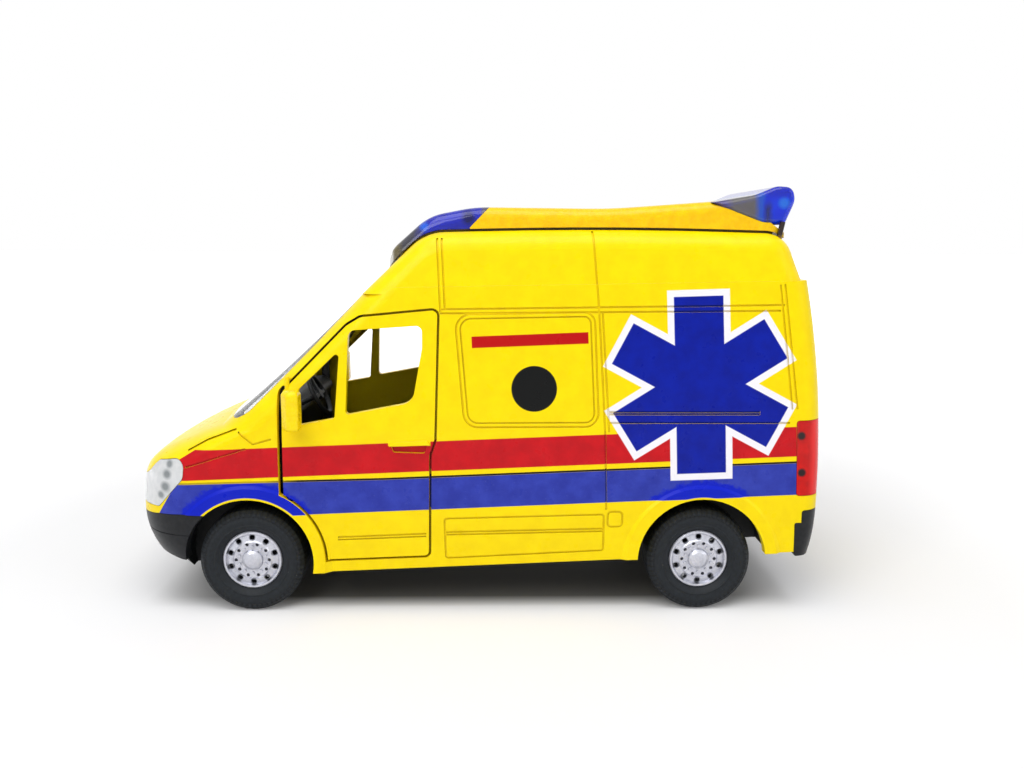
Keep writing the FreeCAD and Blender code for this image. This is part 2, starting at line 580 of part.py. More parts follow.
@functools.lru_cache(maxsize=None)
def rear_lens_block(inset):
    half = FAIRING_HALF_WIDTH + 0.1 - inset
    wing = prism_y(grown(REAR_LENS, -inset), -half, half)
    if inset > 0:
        return wing
    rim = [e for e in wing.Edges if e.BoundBox.YLength < 0.01 and e.BoundBox.ZMax > FAIRING_TOP_Z + 1.0
           and e.BoundBox.XMax < REAR_LENS[0][0] - 1.0]
    return wing.makeFillet(REAR_LENS_EDGE_R, rim)


# ---------------------------------------------------------------- wheels
def tyre_shape():
    """Left tyre, with its axle's line through the origin."""
    outer, inner = TYRE_OUTER_Y, TYRE_OUTER_Y - TYRE_WIDTH
    bore = RIM_R + 0.02
    # columns: radius, depth below the nearer face
    half_profile = ((bore, 1.0), (bore + 0.9, 0.25), (bore + 2.2, 0.0), (TYRE_R - 0.8, 0.2), (TYRE_R - 0.15, 0.9), (TYRE_R, 1.8))
    profile = [(r, outer - depth) for r, depth in half_profile]
    profile += [(r, inner + depth) for r, depth in reversed(half_profile)]
    return turned_y(profile, 0, 0)


RIM_HOLES = 10


def rim_shape():
    """Left rim: barrel, dished disc with oval holes, ring of nuts and domed hub; the axle ends inside it."""
    face, back = TYRE_OUTER_Y - RIM_DEPTH, TYRE_OUTER_Y - TYRE_WIDTH + 1.0
    barrel_r = RIM_R - 0.8
    bore = AXLE_R + 0.02
    profile = ((bore, HUB_INNER_Y), (2.0, HUB_INNER_Y), (2.0, face - 2.0), (barrel_r, face - 1.6), (barrel_r, back), (RIM_R, back),
               (RIM_R, face - 0.2), (RIM_R - 0.2, face), (RIM_R - 0.5, face), (RIM_R - 0.75, face - 0.55), (3.55, face - 0.35),
               (3.3, face - 0.15), (2.1, face - 0.3), (1.9, face - 0.3), (1.75, face + 0.1), (1.3, face + 0.4), (0.7, face + 0.55),
               (0.0, face + 0.6), (0.0, face - 1.0), (bore, face - 1.0))
    rim = turned_y(profile, 0, 0)
    holes, nuts = [], []
    for i in range(RIM_HOLES):
        turn = 360.0 / RIM_HOLES * i
        hole = prism_y(((-0.42, 3.75, 0.3), (0.42, 3.75, 0.3), (0.5, 4.5, 0.35), (-0.5, 4.5, 0.35)), face - 4.0, face + 2.0)
        hole.rotate(Vector(0, 0, 0), Vector(0, 1, 0), turn)
        holes.append(hole)
        hole = rod_y(0.3, face - 1.1, face + 2.0, 0, 2.95)
        hole.rotate(Vector(0, 0, 0), Vector(0, 1, 0), turn + 180.0 / RIM_HOLES)
        holes.append(hole)
        nut = rod_y(0.24, face - 1.0, face + 0.05, 0, 2.45)
        nut.rotate(Vector(0, 0, 0), Vector(0, 1, 0), turn)
        nuts.append(nut)
    return fused([rim.cut(Part.makeCompound(holes))] + nuts)


def axle_shape():
    end = TYRE_OUTER_Y - RIM_DEPTH - 1.1
    return rod_y(AXLE_R, -end, end, 0, 0)


# ---------------------------------------------------------------- chassis and cab
CHASSIS_X = (-57.0, 52.0)
CHASSIS_LIFT = 0.3        # the base plate lies this much above the sill's edge
PLATE = 1.5


def chassis_shape(cavity):
    """Black base: plate, wheel houses and axle bearings."""
    rear, front = CHASSIS_X
    half = HOUSE_Y[1]
    plate = prism_y(((rear, sill_z(rear) + CHASSIS_LIFT, 0), (rear, sill_z(rear) + CHASSIS_LIFT + PLATE, 0),
                     (front, sill_z(front) + CHASSIS_LIFT + PLATE, 0), (front, sill_z(front) + CHASSIS_LIFT, 0)), -half, half)
    houses, wells, blocks, bores = [], [], [], []
    for x, shift in ((FRONT_AXLE_X, ARCH_SHIFT), (REAR_AXLE_X, -ARCH_SHIFT)):
        low, high = HOUSE_Y
        houses.append(rod_y(WHEEL_HOUSE_R + WHEEL_HOUSE_WALL, low, high, x + shift, TYRE_R))
        wells.append(rod_y(WHEEL_HOUSE_R, low + WHEEL_HOUSE_WALL, high + 1.0, x + shift, TYRE_R))
        blocks.append(box((x - 2.6, x + 2.6), AXLE_BLOCK_Y, (TYRE_R - 2.0, TYRE_R + 3.6)))
        bores.append(rod_y(AXLE_R + BEARING_CLEARANCE, -20.0, 20.0, x, TYRE_R))
    base = fused([plate] + both_sides(houses)).cut(below_sill(CHASSIS_LIFT)).cut(Part.makeCompound(both_sides(wells)))
    front_room = box((FRONT_AXLE_X - 2.0, FRONT_AXLE_X + 2.0), (-AXLE_BLOCK_Y[0], AXLE_BLOCK_Y[0]), (2.0, TYRE_R + 1.6))
    base = fused([base.cut(front_room)] + both_sides(blocks)).cut(Part.makeCompound(bores))
    return base.common(cavity)


# seats in side view: x, z above the floor, corner radius; then the half width
SEAT_CENTRE_Y = 10.2
CUSHION = ((7.5, 0.0, 0.0), (19.5, 0.0, 0.0), (20.0, 4.2, 1.2), (8.5, 3.4, 0.0))
CUSHION_HALF_WIDTH = 5.5
BACKREST = ((9.6, 0.0, 0.0), (6.4, 0.0, 0.0), (3.4, 14.6, 1.0), (5.8, 15.2, 1.0))
BACKREST_HALF_WIDTH = 5.2
DASH = ((46.0, 0.0, 0.0), (36.0, 0.0, 0.0), (33.5, 7.8, 0.8), (32.2, 11.6, 1.4), (34.5, 13.0, 1.2), (41.5, 12.0, 1.0),
        (46.5, 9.0, 0.0))


def above_floor(corners):
    return [(x, FLOOR_TOP_Z + z, r) for x, z, r in corners]


def cab_shape(cavity):
    """Black inside moulding: floor over the wheel houses, dashboard and two seats."""
    pieces = [box((-56.0, 46.0), (-21.6, 21.6), (FLOOR_TOP_Z - FLOOR, FLOOR_TOP_Z)), prism_y(above_floor(DASH), -20.4, 20.4)]
    for centre in (SEAT_CENTRE_Y, -SEAT_CENTRE_Y):
        for outline, half in ((CUSHION, CUSHION_HALF_WIDTH), (BACKREST, BACKREST_HALF_WIDTH)):
            pieces.append(prism_y(above_floor(outline), centre - half, centre + half))
    return fused(pieces).common(cavity)


STEERING_RING_R = 3.9
STEERING_PLACE = (29.6, SEAT_CENTRE_Y, FLOOR_TOP_Z + 14.0)
STEERING_TILT = 62.0


def steering_wheel_shape():
    """Ring, hub, three spokes and the column that enters the dashboard."""
    reach = STEERING_RING_R
    ring = Part.makeTorus(reach, 0.42)
    hub = Part.makeCylinder(1.0, 0.8, Vector(0, 0, -0.4))
    spokes = [box((-reach, reach), (-0.35, 0.35), (-0.3, 0.3)), box((-0.35, 0.35), (-reach, 0.0), (-0.3, 0.3))]
    column = Part.makeCylinder(0.5, 4.6, Vector(0, 0, 0), Vector(0, 0, -1))
    wheel = fused([ring, hub, column] + spokes)
    wheel.rotate(Vector(0, 0, 0), Vector(0, 0, 1), 90)
    wheel.rotate(Vector(0, 0, 0), Vector(0, 1, 0), -STEERING_TILT)
    wheel.translate(Vector(*STEERING_PLACE))
    return wheel


MIRROR_Z = (33.9, 40.8)
MIRROR_PLAN = ((29.7, 25.7, 0.6), (32.4, 25.9, 0.9), (33.0, 27.6, 1.0), (31.6, 29.2, 0.9), (29.7, 29.0, 0.4))
MIRROR_EDGE_R = 0.9


def mirror_shape():
    """Left mirror: an upright housing with soft ends on a short arm."""
    low, high = MIRROR_Z
    head = prism_z(MIRROR_PLAN, low, high)
    head = head.makeFillet(MIRROR_EDGE_R, [e for e in head.Edges if e.BoundBox.ZMin > high - 0.01])
    head = head.makeFillet(MIRROR_EDGE_R * 0.6, [e for e in head.Edges if e.BoundBox.ZMax < low + 0.01])
    arm = box((30.2, 31.9), (half_width_at(low + 2.0) - 0.4, 26.4), (low + 1.1, low + 2.8))
    return fused([head, arm]).cut(body_form(0.0))


# ---------------------------------------------------------------- assembly
def door_shape(skin):
    door = skin.common(door_region(0.0)).cut(side_region(DOOR_WINDOW)).cut(side_region(QUARTER_WINDOW))
    low, high = door_hinge_line()
    stubs = [rod_between(STUB_R, *line_part(low, high, low.z - 0.3 - STUB_LENGTH, low.z + 2.0)),
             rod_between(STUB_R, *line_part(low, high, high.z - 2.0, high.z + 0.8 + STUB_LENGTH))]
    door = door.cut(side_region(HANDLE_RECESS).common(layer(-0.1, 0.6)))
    handle = side_region(DOOR_HANDLE).common(layer(-0.55, 0.7))
    for line in door_lines():
        door = door.cut(line.common(layer(-0.1, GROOVE_DEPTH)))
    return fused([door, handle] + stubs)


def rear_leaf_shape(skin):
    leaf = skin.common(rear_door_region(0.0))
    low, high = rear_hinge_line()
    stubs = [rod_between(STUB_R, *line_part(low, high, low.z - STUB_LENGTH, low.z + 2.0)),
             rod_between(STUB_R, *line_part(low, high, high.z - 2.0, high.z + STUB_LENGTH))]
    top = REAR_DOOR_Z[1] - 3.0
    window = ((2.2, 34.5, 1.5), (16.4, 34.5, 1.5), (15.9, top, 2.0), (2.2, top, 1.5))
    frame_line = prism_x(window, -70.0, -50.0).cut(prism_x(grown(window, -GROOVE_WIDTH), -71.0, -49.0))
    leaf = leaf.cut(frame_line.common(layer(-0.1, GROOVE_DEPTH)))
    return fused([leaf] + stubs)


def shell_shape(skin, groove_skin):
    """Cast body with all its openings and lines, and the inner stops that the doors close on."""
    left = [door_region(PANEL_GAP), rear_door_region(PANEL_GAP), headlamp_region(PIECE_GAP), tail_lamp_region(PIECE_GAP)]
    left += stub_holes()
    left += [line.common(groove_skin) for line in panel_lines()]
    cuts = both_sides(left) + arch_edges()
    cuts += [prism_y(grown(outline, PIECE_GAP), -40.0, 40.0) for outline in (FRONT_BUMPER, REAR_BUMPER)]
    cuts.append(box((FRONT_AXLE_X + 5.0, 80.0), (-40.0, 40.0), (0.0, FRONT_VALANCE_Z)))
    cuts += [prism_x(grown(WINDSCREEN, PIECE_GAP), 10.0, 70.0), prism_x(grown(GRILLE, PIECE_GAP), 45.0, 75.0)]
    for cut in cuts:
        skin = skin.cut(cut)
    room = below_sill().fuse(prism_x(grown(WINDSCREEN, 2 * PIECE_GAP), 10.0, 70.0))
    stops = [stop.cut(room) for stop in stop_regions(0.0)]
    return fused([skin] + both_sides(stops))


# reflector bowls: height z, distance y from the middle plane, depth of the centre below the surface, radius
REFLECTOR_BOWLS = ((23.2, 17.5, 3.6, 2.3), (20.9, 20.6, 3.4, 1.7), (25.2, 20.6, 3.4, 1.6))
REFLECTOR_DEPTH = 4.6


def reflector_shape(outer):
    behind = layer(LAMP_WALL + 0.25, REFLECTOR_DEPTH)
    reflector = headlamp_region(-0.3).common(behind)
    for z, y, depth, radius in REFLECTOR_BOWLS:
        reflector = reflector.cut(Part.makeSphere(radius, Vector(front_x_at(z, y) - depth + 1.5, y, z)))
    return max(reflector.Solids, key=lambda s: s.Volume)


def front_bumper_shape(body):
    bumper = body.cut(body_form(BUMPER_DEPTH)).common(prism_y(FRONT_BUMPER, -40.0, 40.0))
    for cut in arch_edges() + both_sides([headlamp_region(PIECE_GAP)]) + [prism_x(INTAKE, 45.0, 75.0)]:
        bumper = bumper.cut(cut)
    low, high = INTAKE[0][1], INTAKE[2][1]
    bars = [box((50.0, 66.0), (-10.0, 10.0), (z - 0.25, z + 0.25)).common(layer(0.7, 2.0))
            for z in (low + (high - low) / 3, high - (high - low) / 3)]
    crease = prism_y(((40.0, 14.0, 0), (70.0, 14.4, 0), (70.0, 14.6, 0), (40.0, 14.2, 0)), -40.0, 40.0).cut(prism_x(INTAKE, 45, 75))
    bumper = bumper.cut(crease.common(layer(-0.1, GROOVE_DEPTH / 2)))
    return fused([bumper] + bars)


def grille_shape():
    frame = prism_x(GRILLE, 45.0, 75.0)
    low, high = GRILLE[0][1], GRILLE[2][1]
    step = (high - low) / (GRILLE_BARS + 1)
    heights = [low + step * (i + 1) for i in range(GRILLE_BARS)]
    bars = [box((45.0, 75.0), (-13.0, 13.0), (z - 0.3, z + 0.3)).common(frame) for z in heights]
    face = frame.cut(prism_x(grown(GRILLE, -0.7), 44.0, 76.0)).multiFuse(bars).common(layer(0.5, 2.2))
    return fused([face, frame.common(layer(1.6, 2.2))])


def fairing_shapes():
    """Roof fairing and its two lenses; a dark joint runs round the rim and the seat stands inside it."""
    roof_top = roof_form(-SEAT_GAP).fuse(body_form(-SEAT_GAP))
    joint = roof_form(-FAIRING_GAP).fuse(body_form(-FAIRING_GAP))
    rim = fairing_block(0.0).cut(joint)
    seat = fairing_block(FAIRING_SEAT_IN).common(joint).cut(roof_top)
    lens = rim.common(front_lens_region(0.0)).cut(fairing_block(LENS_WALL))
    rear_lens = rear_lens_block(0.0).cut(rear_lens_block(LENS_WALL))
    fairing = fused([rim.cut(front_lens_region(SEAT_GAP)), seat]).cut(rear_lens_block(-SEAT_GAP))
    return fairing, lens, rear_lens.cut(roof_top)


def build():
    body = body_form(0.0).cut(above_gutter())
    whole = fused([body, roof_form(0.0)])
    hollow = body_form(WALL).fuse(roof_form(WALL))
    skin = fused([whole] + both_sides(flares())).cut(hollow).cut(below_sill())
    groove_skin = whole.cut(body_form(GROOVE_DEPTH).cut(above_gutter()).fuse(roof_form(GROOVE_DEPTH)))
    glass = body.cut(body_form(LAMP_WALL))

    nodes = {"body_shell": shell_shape(skin, groove_skin)}
    nodes["door_left"] = door_shape(skin)
    nodes["rear_door_left"] = rear_leaf_shape(skin)
    nodes["mirror_left"] = mirror_shape()
    nodes["windscreen"] = glass.common(prism_x(WINDSCREEN, 10.0, 70.0))
    nodes["headlamp_left"] = glass.common(headlamp_region(0.0))
    nodes["headlamp_reflector_left"] = reflector_shape(body)
    nodes["tail_lamp_left"] = glass.common(tail_lamp_region(0.0))
    nodes["front_bumper"] = front_bumper_shape(body)
    nodes["rear_bumper"] = body.cut(body_form(BUMPER_DEPTH)).common(prism_y(REAR_BUMPER, -40.0, 40.0))
    nodes["grille"] = grille_shape()
    nodes["roof_fairing"], nodes["front_lens"], nodes["rear_lens"] = fairing_shapes()

    stops = both_sides(stop_regions(SEAT_GAP * 2))
    chassis = chassis_shape(body_form(WALL + 0.1))
    bumper_room = prism_y(grown(FRONT_BUMPER, 0.1), -40.0, 40.0).cut(body_form(BUMPER_DEPTH + 0.1))
    for room in stops + [bumper_room]:
        chassis = chassis.cut(room)
    nodes["chassis"] = chassis
    nodes["cab_interior"] = cab_shape(body_form(WALL + STOP_GAP + STOP_WALL + 0.15))
    nodes["steering_wheel"] = steering_wheel_shape().cut(nodes["cab_interior"])

    tyre, rim, axle = tyre_shape(), rim_shape(), axle_shape()
    for end, x in (("front", FRONT_AXLE_X), ("rear", REAR_AXLE_X)):
        pieces = {end + "_axle": axle}
        for side, turn in (("left", lambda shape: shape), ("right", mirrored)):
            pieces["tyre_%s_%s" % (end, side)] = turn(tyre)
            pieces["rim_%s_%s" % (end, side)] = turn(rim)
        for name, shape in pieces.items():
            nodes[name] = shape.translated(Vector(x, 0, TYRE_R))
    for name in [n for n in nodes if n.endswith("_left") and not n.startswith(("tyre", "rim"))]:
        nodes[name.replace("_left", "_right")] = mirrored(nodes[name])
    return nodes


os.makedirs("parts", exist_ok=True)
for name, shape in build().items():
    bounds = shape.BoundBox
    print("%-26s valid %s solids %d volume %9.2f faces %4d  x %.2f %.2f y %.2f %.2f z %.2f %.2f" % (
        name, shape.isValid(), len(shape.Solids), shape.Volume, len(shape.Faces), bounds.XMin, bounds.XMax,
        bounds.YMin, bounds.YMax, bounds.ZMin, bounds.ZMax))
    shape.exportStep("parts/%s.step" % name)
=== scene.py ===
"""Looks of the die-cast toy ambulance: printed enamel, lenses, rubber, camera and studio."""

import json
import math

import bmesh
import bpy
from mathutils import Matrix, Vector


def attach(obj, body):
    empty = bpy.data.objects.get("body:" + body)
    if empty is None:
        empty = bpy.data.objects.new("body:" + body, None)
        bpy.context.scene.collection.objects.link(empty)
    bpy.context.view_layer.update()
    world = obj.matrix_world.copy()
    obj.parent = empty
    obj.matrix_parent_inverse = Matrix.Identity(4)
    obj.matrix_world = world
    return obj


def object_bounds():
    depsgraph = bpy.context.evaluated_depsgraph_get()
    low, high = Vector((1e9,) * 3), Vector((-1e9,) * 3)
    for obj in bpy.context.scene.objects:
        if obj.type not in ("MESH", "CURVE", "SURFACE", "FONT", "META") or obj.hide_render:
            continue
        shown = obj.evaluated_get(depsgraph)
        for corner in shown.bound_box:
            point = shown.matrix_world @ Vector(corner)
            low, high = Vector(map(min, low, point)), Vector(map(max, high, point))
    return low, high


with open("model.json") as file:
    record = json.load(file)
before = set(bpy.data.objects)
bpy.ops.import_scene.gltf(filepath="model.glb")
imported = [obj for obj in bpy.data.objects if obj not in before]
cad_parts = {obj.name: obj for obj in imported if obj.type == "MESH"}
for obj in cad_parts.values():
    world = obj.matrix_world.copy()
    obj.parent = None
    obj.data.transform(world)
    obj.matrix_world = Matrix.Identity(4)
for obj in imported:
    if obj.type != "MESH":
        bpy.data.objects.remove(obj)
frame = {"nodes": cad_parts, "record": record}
CAD_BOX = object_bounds()
NODES = frame["nodes"]
MM = 0.001

# ---------------------------------------------------------------- places and sizes, in millimetres
RAKE = math.radians(2.3)              # the body sits nose down on its wheels
AXLES = {"front": Vector((39.8, 0, 9.4)), "rear": Vector((-40.4, 0, 9.4))}
ARCHES = {"front": Vector((40.1, 0, 9.4)), "rear": Vector((-40.7, 0, 9.4))}
ARCH_R = 11.5
ARCH_BLUE_REACH = (3.0, 3.6)          # the deep blue ends this far outside an arch
LIP_WIDTH, LIP_EDGE = 0.35, 0.08      # bare yellow edge of the wheel arches, and how softly it ends

# printed bands: heights above the raked ground line, and places along it
RED_BAND = (26.32, 31.6)
BLUE_BAND = (19.35, 25.1)
HAIRLINE, HAIRLINE_EDGE = (25.1, 25.45), 0.04
HAIRLINE_FADE = (30.0, 36.0)          # it fades by half towards the nose between these places
BAND_REAR = -58.15
FRONT_RISE = (15.0, 50.0, 0.5)        # the blue band's top climbs this much between two places along the body
RED_FRONT = (49.6, 29.3, 1.64)        # slanted front edge: x and z of its start, and x gained per mm down
BLUE_FRONT = (52.7, 23.3, 0.65)
DOOR_FLAP = (7.7, 15.1, 30.55, 31.6)  # the yellow handle flap over the red band: x from, to, z from, to
SIDE_FACING = (0.25, 0.35)            # print lies on walls that face outward more than this
SIDE_FROM = (19.5, 19.7)              # and that are this far from the middle plane
PRINT_EDGE = 0.05                     # half the width over which a printed edge fades
CUT_EDGE = 0.06                       # the same for slanted and round outlines

# plain signs
STAR_CENTRE = (-41.27, 39.53)
STAR_TURN = 0.34                      # degrees
STAR_BARS = ((0, 5.5), (60, 5.15), (120, 5.15))       # angle in degrees, half width
STAR_HALF_LENGTH, STAR_BORDER = 16.7, 1.15
BAR_BOX = (-21.9, -1.5, 47.6, 49.6)   # along from, to, above from, to
DISC_CENTRE, DISC_R = (-12.1, 40.1), 4.0

# marks in the lenses and lamps: x and z in the side view, and a radius
# the front lens's pale blue spot is a painted highlight
FRONT_HIGHLIGHT = ((9.0, 68.5), 1.1)
FRONT_KNOB = ((1.1, 70.1), 1.6)
# a pale blue spot in the rear lens
REAR_PALE_SPOT = ((-54.95, 72.9), 1.3)
HEADLAMP_CUPS = (((54.2, 25.2), 1.1), ((54.6, 23.0), 1.2), ((55.6, 21.4), 0.9), ((53.8, 27.0), 0.9))
TAIL_LAMP_PINS = ((-57.75, 32.3), (-58.05, 25.7))
TAIL_LAMP_PIN_EDGE = (0.55, 0.9)

# wheels: counts, and distances from the axle
TREAD_BLOCKS = 58
TREAD_FROM = (8.1, 8.3)
# painted shade in the shoulder grooves lies between these distances
SHOULDER_GROOVE_SHADE = (7.9, 8.2)
SIDEWALL_RING = (6.35, 6.6)
RIM_SLOTS, RIM_SLOT_R = 10, 4.12
RIM_SLOT_EDGE = (0.46, 0.64)          # painted shade round a slot fades out between these distances from its middle
RIM_SLOT_SQUEEZE = 0.85               # below 1, so the slots are longer along the radius than across it

# thin trim that the construction leaves out: routes of x and z, and (height, distance from the middle plane)
SEAL_ROUTE = ((33.9, 23.8), (34.1, 38.4), (33.7, 40.3), (31.8, 42.0), (22.9, 51.1), (20.0, 52.8),
              (16.0, 53.2))
SEAL_Y = ((23.8, 21.4), (39.4, 21.4), (53.2, 19.9))
SEAL_WIDTH, SEAL_THICKNESS = 1.7, 0.5
CLIP_ROUTE = ((-54.75, 69.6), (-54.3, 67.4), (-54.1, 65.3))
CLIP_Y = ((65.3, 17.3), (69.6, 17.3))
CLIP_WIDTH, CLIP_THICKNESS = 0.8, 0.9
EDGE_CUT = 0.12                       # chamfer of a ribbon's edges

# camera: its place, and its turns in radians
CAMERA_PLACE = Vector((-3.48, 182.42, 67.37))
CAMERA_YAW, CAMERA_PITCH, CAMERA_ROLL = 0.0196, 0.1622, 0.0041
CAMERA_FOCUS = 920 / 1024             # focal length as a share of the picture's width
CAMERA_SENSOR = 36.0

# ---------------------------------------------------------------- studio, in metres and watts
WORLD_LIGHT = 0.36                    # the surroundings light the toy less than they look
FLOOR_HALF = 3.0
FLOOR_LIFT = (0.08, 1.0)              # brightness added to the floor near the toy and further away
FLOOR_LIFT_REACH = (0.10, 0.45)       # distances between which it rises
CONTACT_INSET = (0.002, 0.0065)       # the painted contact shadow stops short of the toy's end and side
CONTACT_BLUR = (0.018, 0.005)         # and fades over these
LIGHT_AIM = (0, 0, 0.03)
# name, place, size, power
SOFTBOXES = (
    ("top_softbox", (0.05, 0.20, 0.75), (0.7, 0.5), 3.6),
    ("camera_softbox", (0.35, 0.65, 0.60), (0.5, 0.4), 2.55),
    ("rear_softbox", (-0.6, 0.35, 0.35), (0.4, 0.4), 0.6),
)


def linear(red, green, blue):
    """A screen colour, 0 to 255, as the linear colour that renders as it."""
    shares = [v / 255 for v in (red, green, blue)]
    return tuple(((s + 0.055) / 1.055) ** 2.4 if s > 10 / 255 else s / 12.92 for s in shares)


YELLOW, YELLOW_WORN = linear(255, 226, 0), linear(250, 218, 0)
RED, RED_DEEP = linear(205, 18, 28), linear(188, 16, 26)
BLUE, BLUE_DEEP, BLUE_SCUFFED = linear(52, 66, 176), linear(42, 54, 158), linear(96, 108, 196)
ARCH_BLUE = linear(4, 30, 192)
STAR_BLUE, STAR_DEEP = linear(2, 28, 160), linear(2, 22, 142)
WHITE = linear(246, 244, 250)
HAIRLINE_BLACK = linear(16, 14, 10)
BAR_RED, DISC_BLACK = linear(188, 12, 14), linear(5, 6, 6)
# painted shade for gaps, corners and the edges where pieces meet
PAINTED_GAP_SHADE = linear(24, 20, 6)
# painted shade on the body's inner walls
PAINTED_INSIDE_SHADE = linear(84, 70, 4)
# the paper's white, and the grey of the painted shadow under the toy
FLOOR_WHITE, PAINTED_SHADOW_GREY = (0.86, 0.86, 0.87), (0.17, 0.165, 0.155)
CLEAR_PLASTIC_IOR = 1.46


# ---------------------------------------------------------------- node building
class Nodes:
    """Builds one material's node tree; a value is a number, a colour or another node's output."""

    def __init__(self, name):
        self.material = bpy.data.materials.new(name)
        self.material.use_nodes = True
        self.tree = self.material.node_tree
        self.shader = self.tree.nodes["Principled BSDF"]
        self.place = self.add("ShaderNodeTexCoord")

    def add(self, kind, **settings):
        node = self.tree.nodes.new(kind)
        for key, value in settings.items():
            setattr(node, key, value)
        return node

    def feed(self, socket, value):
        """Links an output to the socket, or sets the socket's own number or colour."""
        if isinstance(value, bpy.types.NodeSocket):
            self.tree.links.new(value, socket)
        elif isinstance(value, tuple) and len(value) == 3 and len(socket.default_value) == 4:
            socket.default_value = (*value, 1.0)
        else:
            socket.default_value = value

    def set(self, **values):
        """Feeds the shader's sockets, named with underscores, and returns the material."""
        for name, value in values.items():
            self.feed(self.shader.inputs[name.replace("_", " ")], value)
        return self.material

    def math(self, operation, a, b=0.0, clamp=False):
        node = self.add("ShaderNodeMath", operation=operation, use_clamp=clamp)
        self.feed(node.inputs[0], a)
        self.feed(node.inputs[1], b)
        return node.outputs[0]

    def sum(self, a, b):
        return self.math("ADD", a, b)

    def difference(self, a, b):
        return self.math("SUBTRACT", a, b)

    def absolute(self, value):
        return self.math("ABSOLUTE", value)

    def product(self, first, *others):
        for other in others:
            first = self.math("MULTIPLY", first, other)
        return first

    def mix(self, share, a, b):
        """a where share is 0, b where it is 1."""
        node = self.add("ShaderNodeMix", data_type="RGBA")
        self.feed(node.inputs["Factor"], share)
        self.feed(node.inputs["A"], a)
        self.feed(node.inputs["B"], b)
        return node.outputs["Result"]

    def darker(self, colour, share):
        """The colour times share, and a little less blue than that."""
        node = self.add("ShaderNodeMix", data_type="RGBA", blend_type="MULTIPLY")
        self.feed(node.inputs["Factor"], 1.0)
        self.feed(node.inputs["A"], colour)
        self.feed(node.inputs["B"], (share, share, share * 0.8))
        return node.outputs["Result"]

    def noise(self, scale, detail=4.0, roughness=0.5):
        """Noise over the object's own coordinates; scale is in features per millimetre."""
        node = self.add("ShaderNodeTexNoise")
        self.feed(node.inputs["Vector"], self.place.outputs["Object"])
        self.feed(node.inputs["Scale"], scale / MM)
        self.feed(node.inputs["Detail"], detail)
        self.feed(node.inputs["Roughness"], roughness)
        return node.outputs["Fac"]

    def ramp(self, value, low, high, out_low=0.0, out_high=1.0):
        """Straight run from out_low at low to out_high at high, level beyond both."""
        node = self.add("ShaderNodeMapRange")
        self.feed(node.inputs["Value"], value)
        self.feed(node.inputs["From Min"], low)
        self.feed(node.inputs["From Max"], high)
        self.feed(node.inputs["To Min"], out_low)
        self.feed(node.inputs["To Max"], out_high)
        return node.outputs["Result"]

    def over(self, value, limit, soft):
        """1 where value is over the limit."""
        return self.ramp(value, limit - soft, limit + soft)

    def under(self, value, limit, soft):
        """1 where value is under the limit."""
        return self.ramp(value, limit - soft, limit + soft, 1.0, 0.0)

    def inside(self, value, low, high, soft=PRINT_EDGE):
        """1 where value lies between low and high."""
        return self.product(self.over(value, low, soft), self.under(value, high, soft))

    def uneven(self, scale, low, high, detail=4.0):
        """A number that drifts between low and high over the surface."""
        return self.ramp(self.noise(scale, detail), 0.3, 0.7, low, high)

    def mottled(self, scale, first, second, detail=4.0, spread=0.15):
        """Two colours in soft patches; a small spread makes them crisper."""
        patches = self.ramp(self.noise(scale, detail), 0.5 - spread, 0.5 + spread)
        return self.mix(patches, first, second)

    def bump(self, height, strength, distance_mm, normal=None):
        node = self.add("ShaderNodeBump")
        self.feed(node.inputs["Height"], height)
        self.feed(node.inputs["Strength"], strength)
        self.feed(node.inputs["Distance"], distance_mm * MM)
        if normal is not None:
            self.feed(node.inputs["Normal"], normal)
        return node.outputs["Normal"]

    def soft_edges(self, radius_mm):
        node = self.add("ShaderNodeBevel", samples=4)
        self.feed(node.inputs["Radius"], radius_mm * MM)
        return node.outputs["Normal"]

    def recess(self, reach_mm):
        """Near 0 deep in a gap or corner, 1 on open surfaces."""
        node = self.add("ShaderNodeAmbientOcclusion", samples=8, only_local=False)
        self.feed(node.inputs["Distance"], reach_mm * MM)
        return node.outputs["AO"]

    def with_painted_recess_shade(self, shade, reach_mm, low, high, strength, dark):
        """The shade with painted shade in its gaps and corners: a dark colour mixed in by ambient occlusion.
        """
        return self.mix(self.ramp(self.recess(reach_mm), low, high, strength, 0.0), shade, dark)

    def split(self, vector):
        node = self.add("ShaderNodeSeparateXYZ")
        self.feed(node.inputs[0], vector)
        return node.outputs

    def millimetres(self):
        """The object's own coordinates in millimetres."""
        return [self.product(part, 1 / MM) for part in self.split(self.place.outputs["Object"])]

    def distance(self, a, b, centre):
        """Distance from a point in the plane of a and b."""
        da, db = self.difference(a, centre[0]), self.difference(b, centre[1])
        return self.math("SQRT", self.sum(self.product(da, da), self.product(db, db)))

    def spot(self, x, z, centre, radius):
        """1 inside a soft round patch of the side view."""
        return self.ramp(self.distance(x, z, centre), radius * 0.4, radius, 1.0, 0.0)


# ---------------------------------------------------------------- livery
def body_axes(tree):
    """Coordinates along and above the raked body, and the distance from the middle plane."""
    x, y, z = tree.millimetres()
    c, s = math.cos(RAKE), math.sin(RAKE)
    along = tree.sum(tree.product(x, c), tree.product(z, -s))
    above = tree.sum(tree.product(x, s), tree.product(z, c))
    return along, above, tree.absolute(y)


def outward_facing(tree):
    """1 on walls that face away from the middle plane, -1 on their inner sides."""
    y = tree.split(tree.place.outputs["Object"])[1]
    normal_y = tree.split(tree.place.outputs["Normal"])[1]
    return tree.product(normal_y, tree.math("SIGN", y))


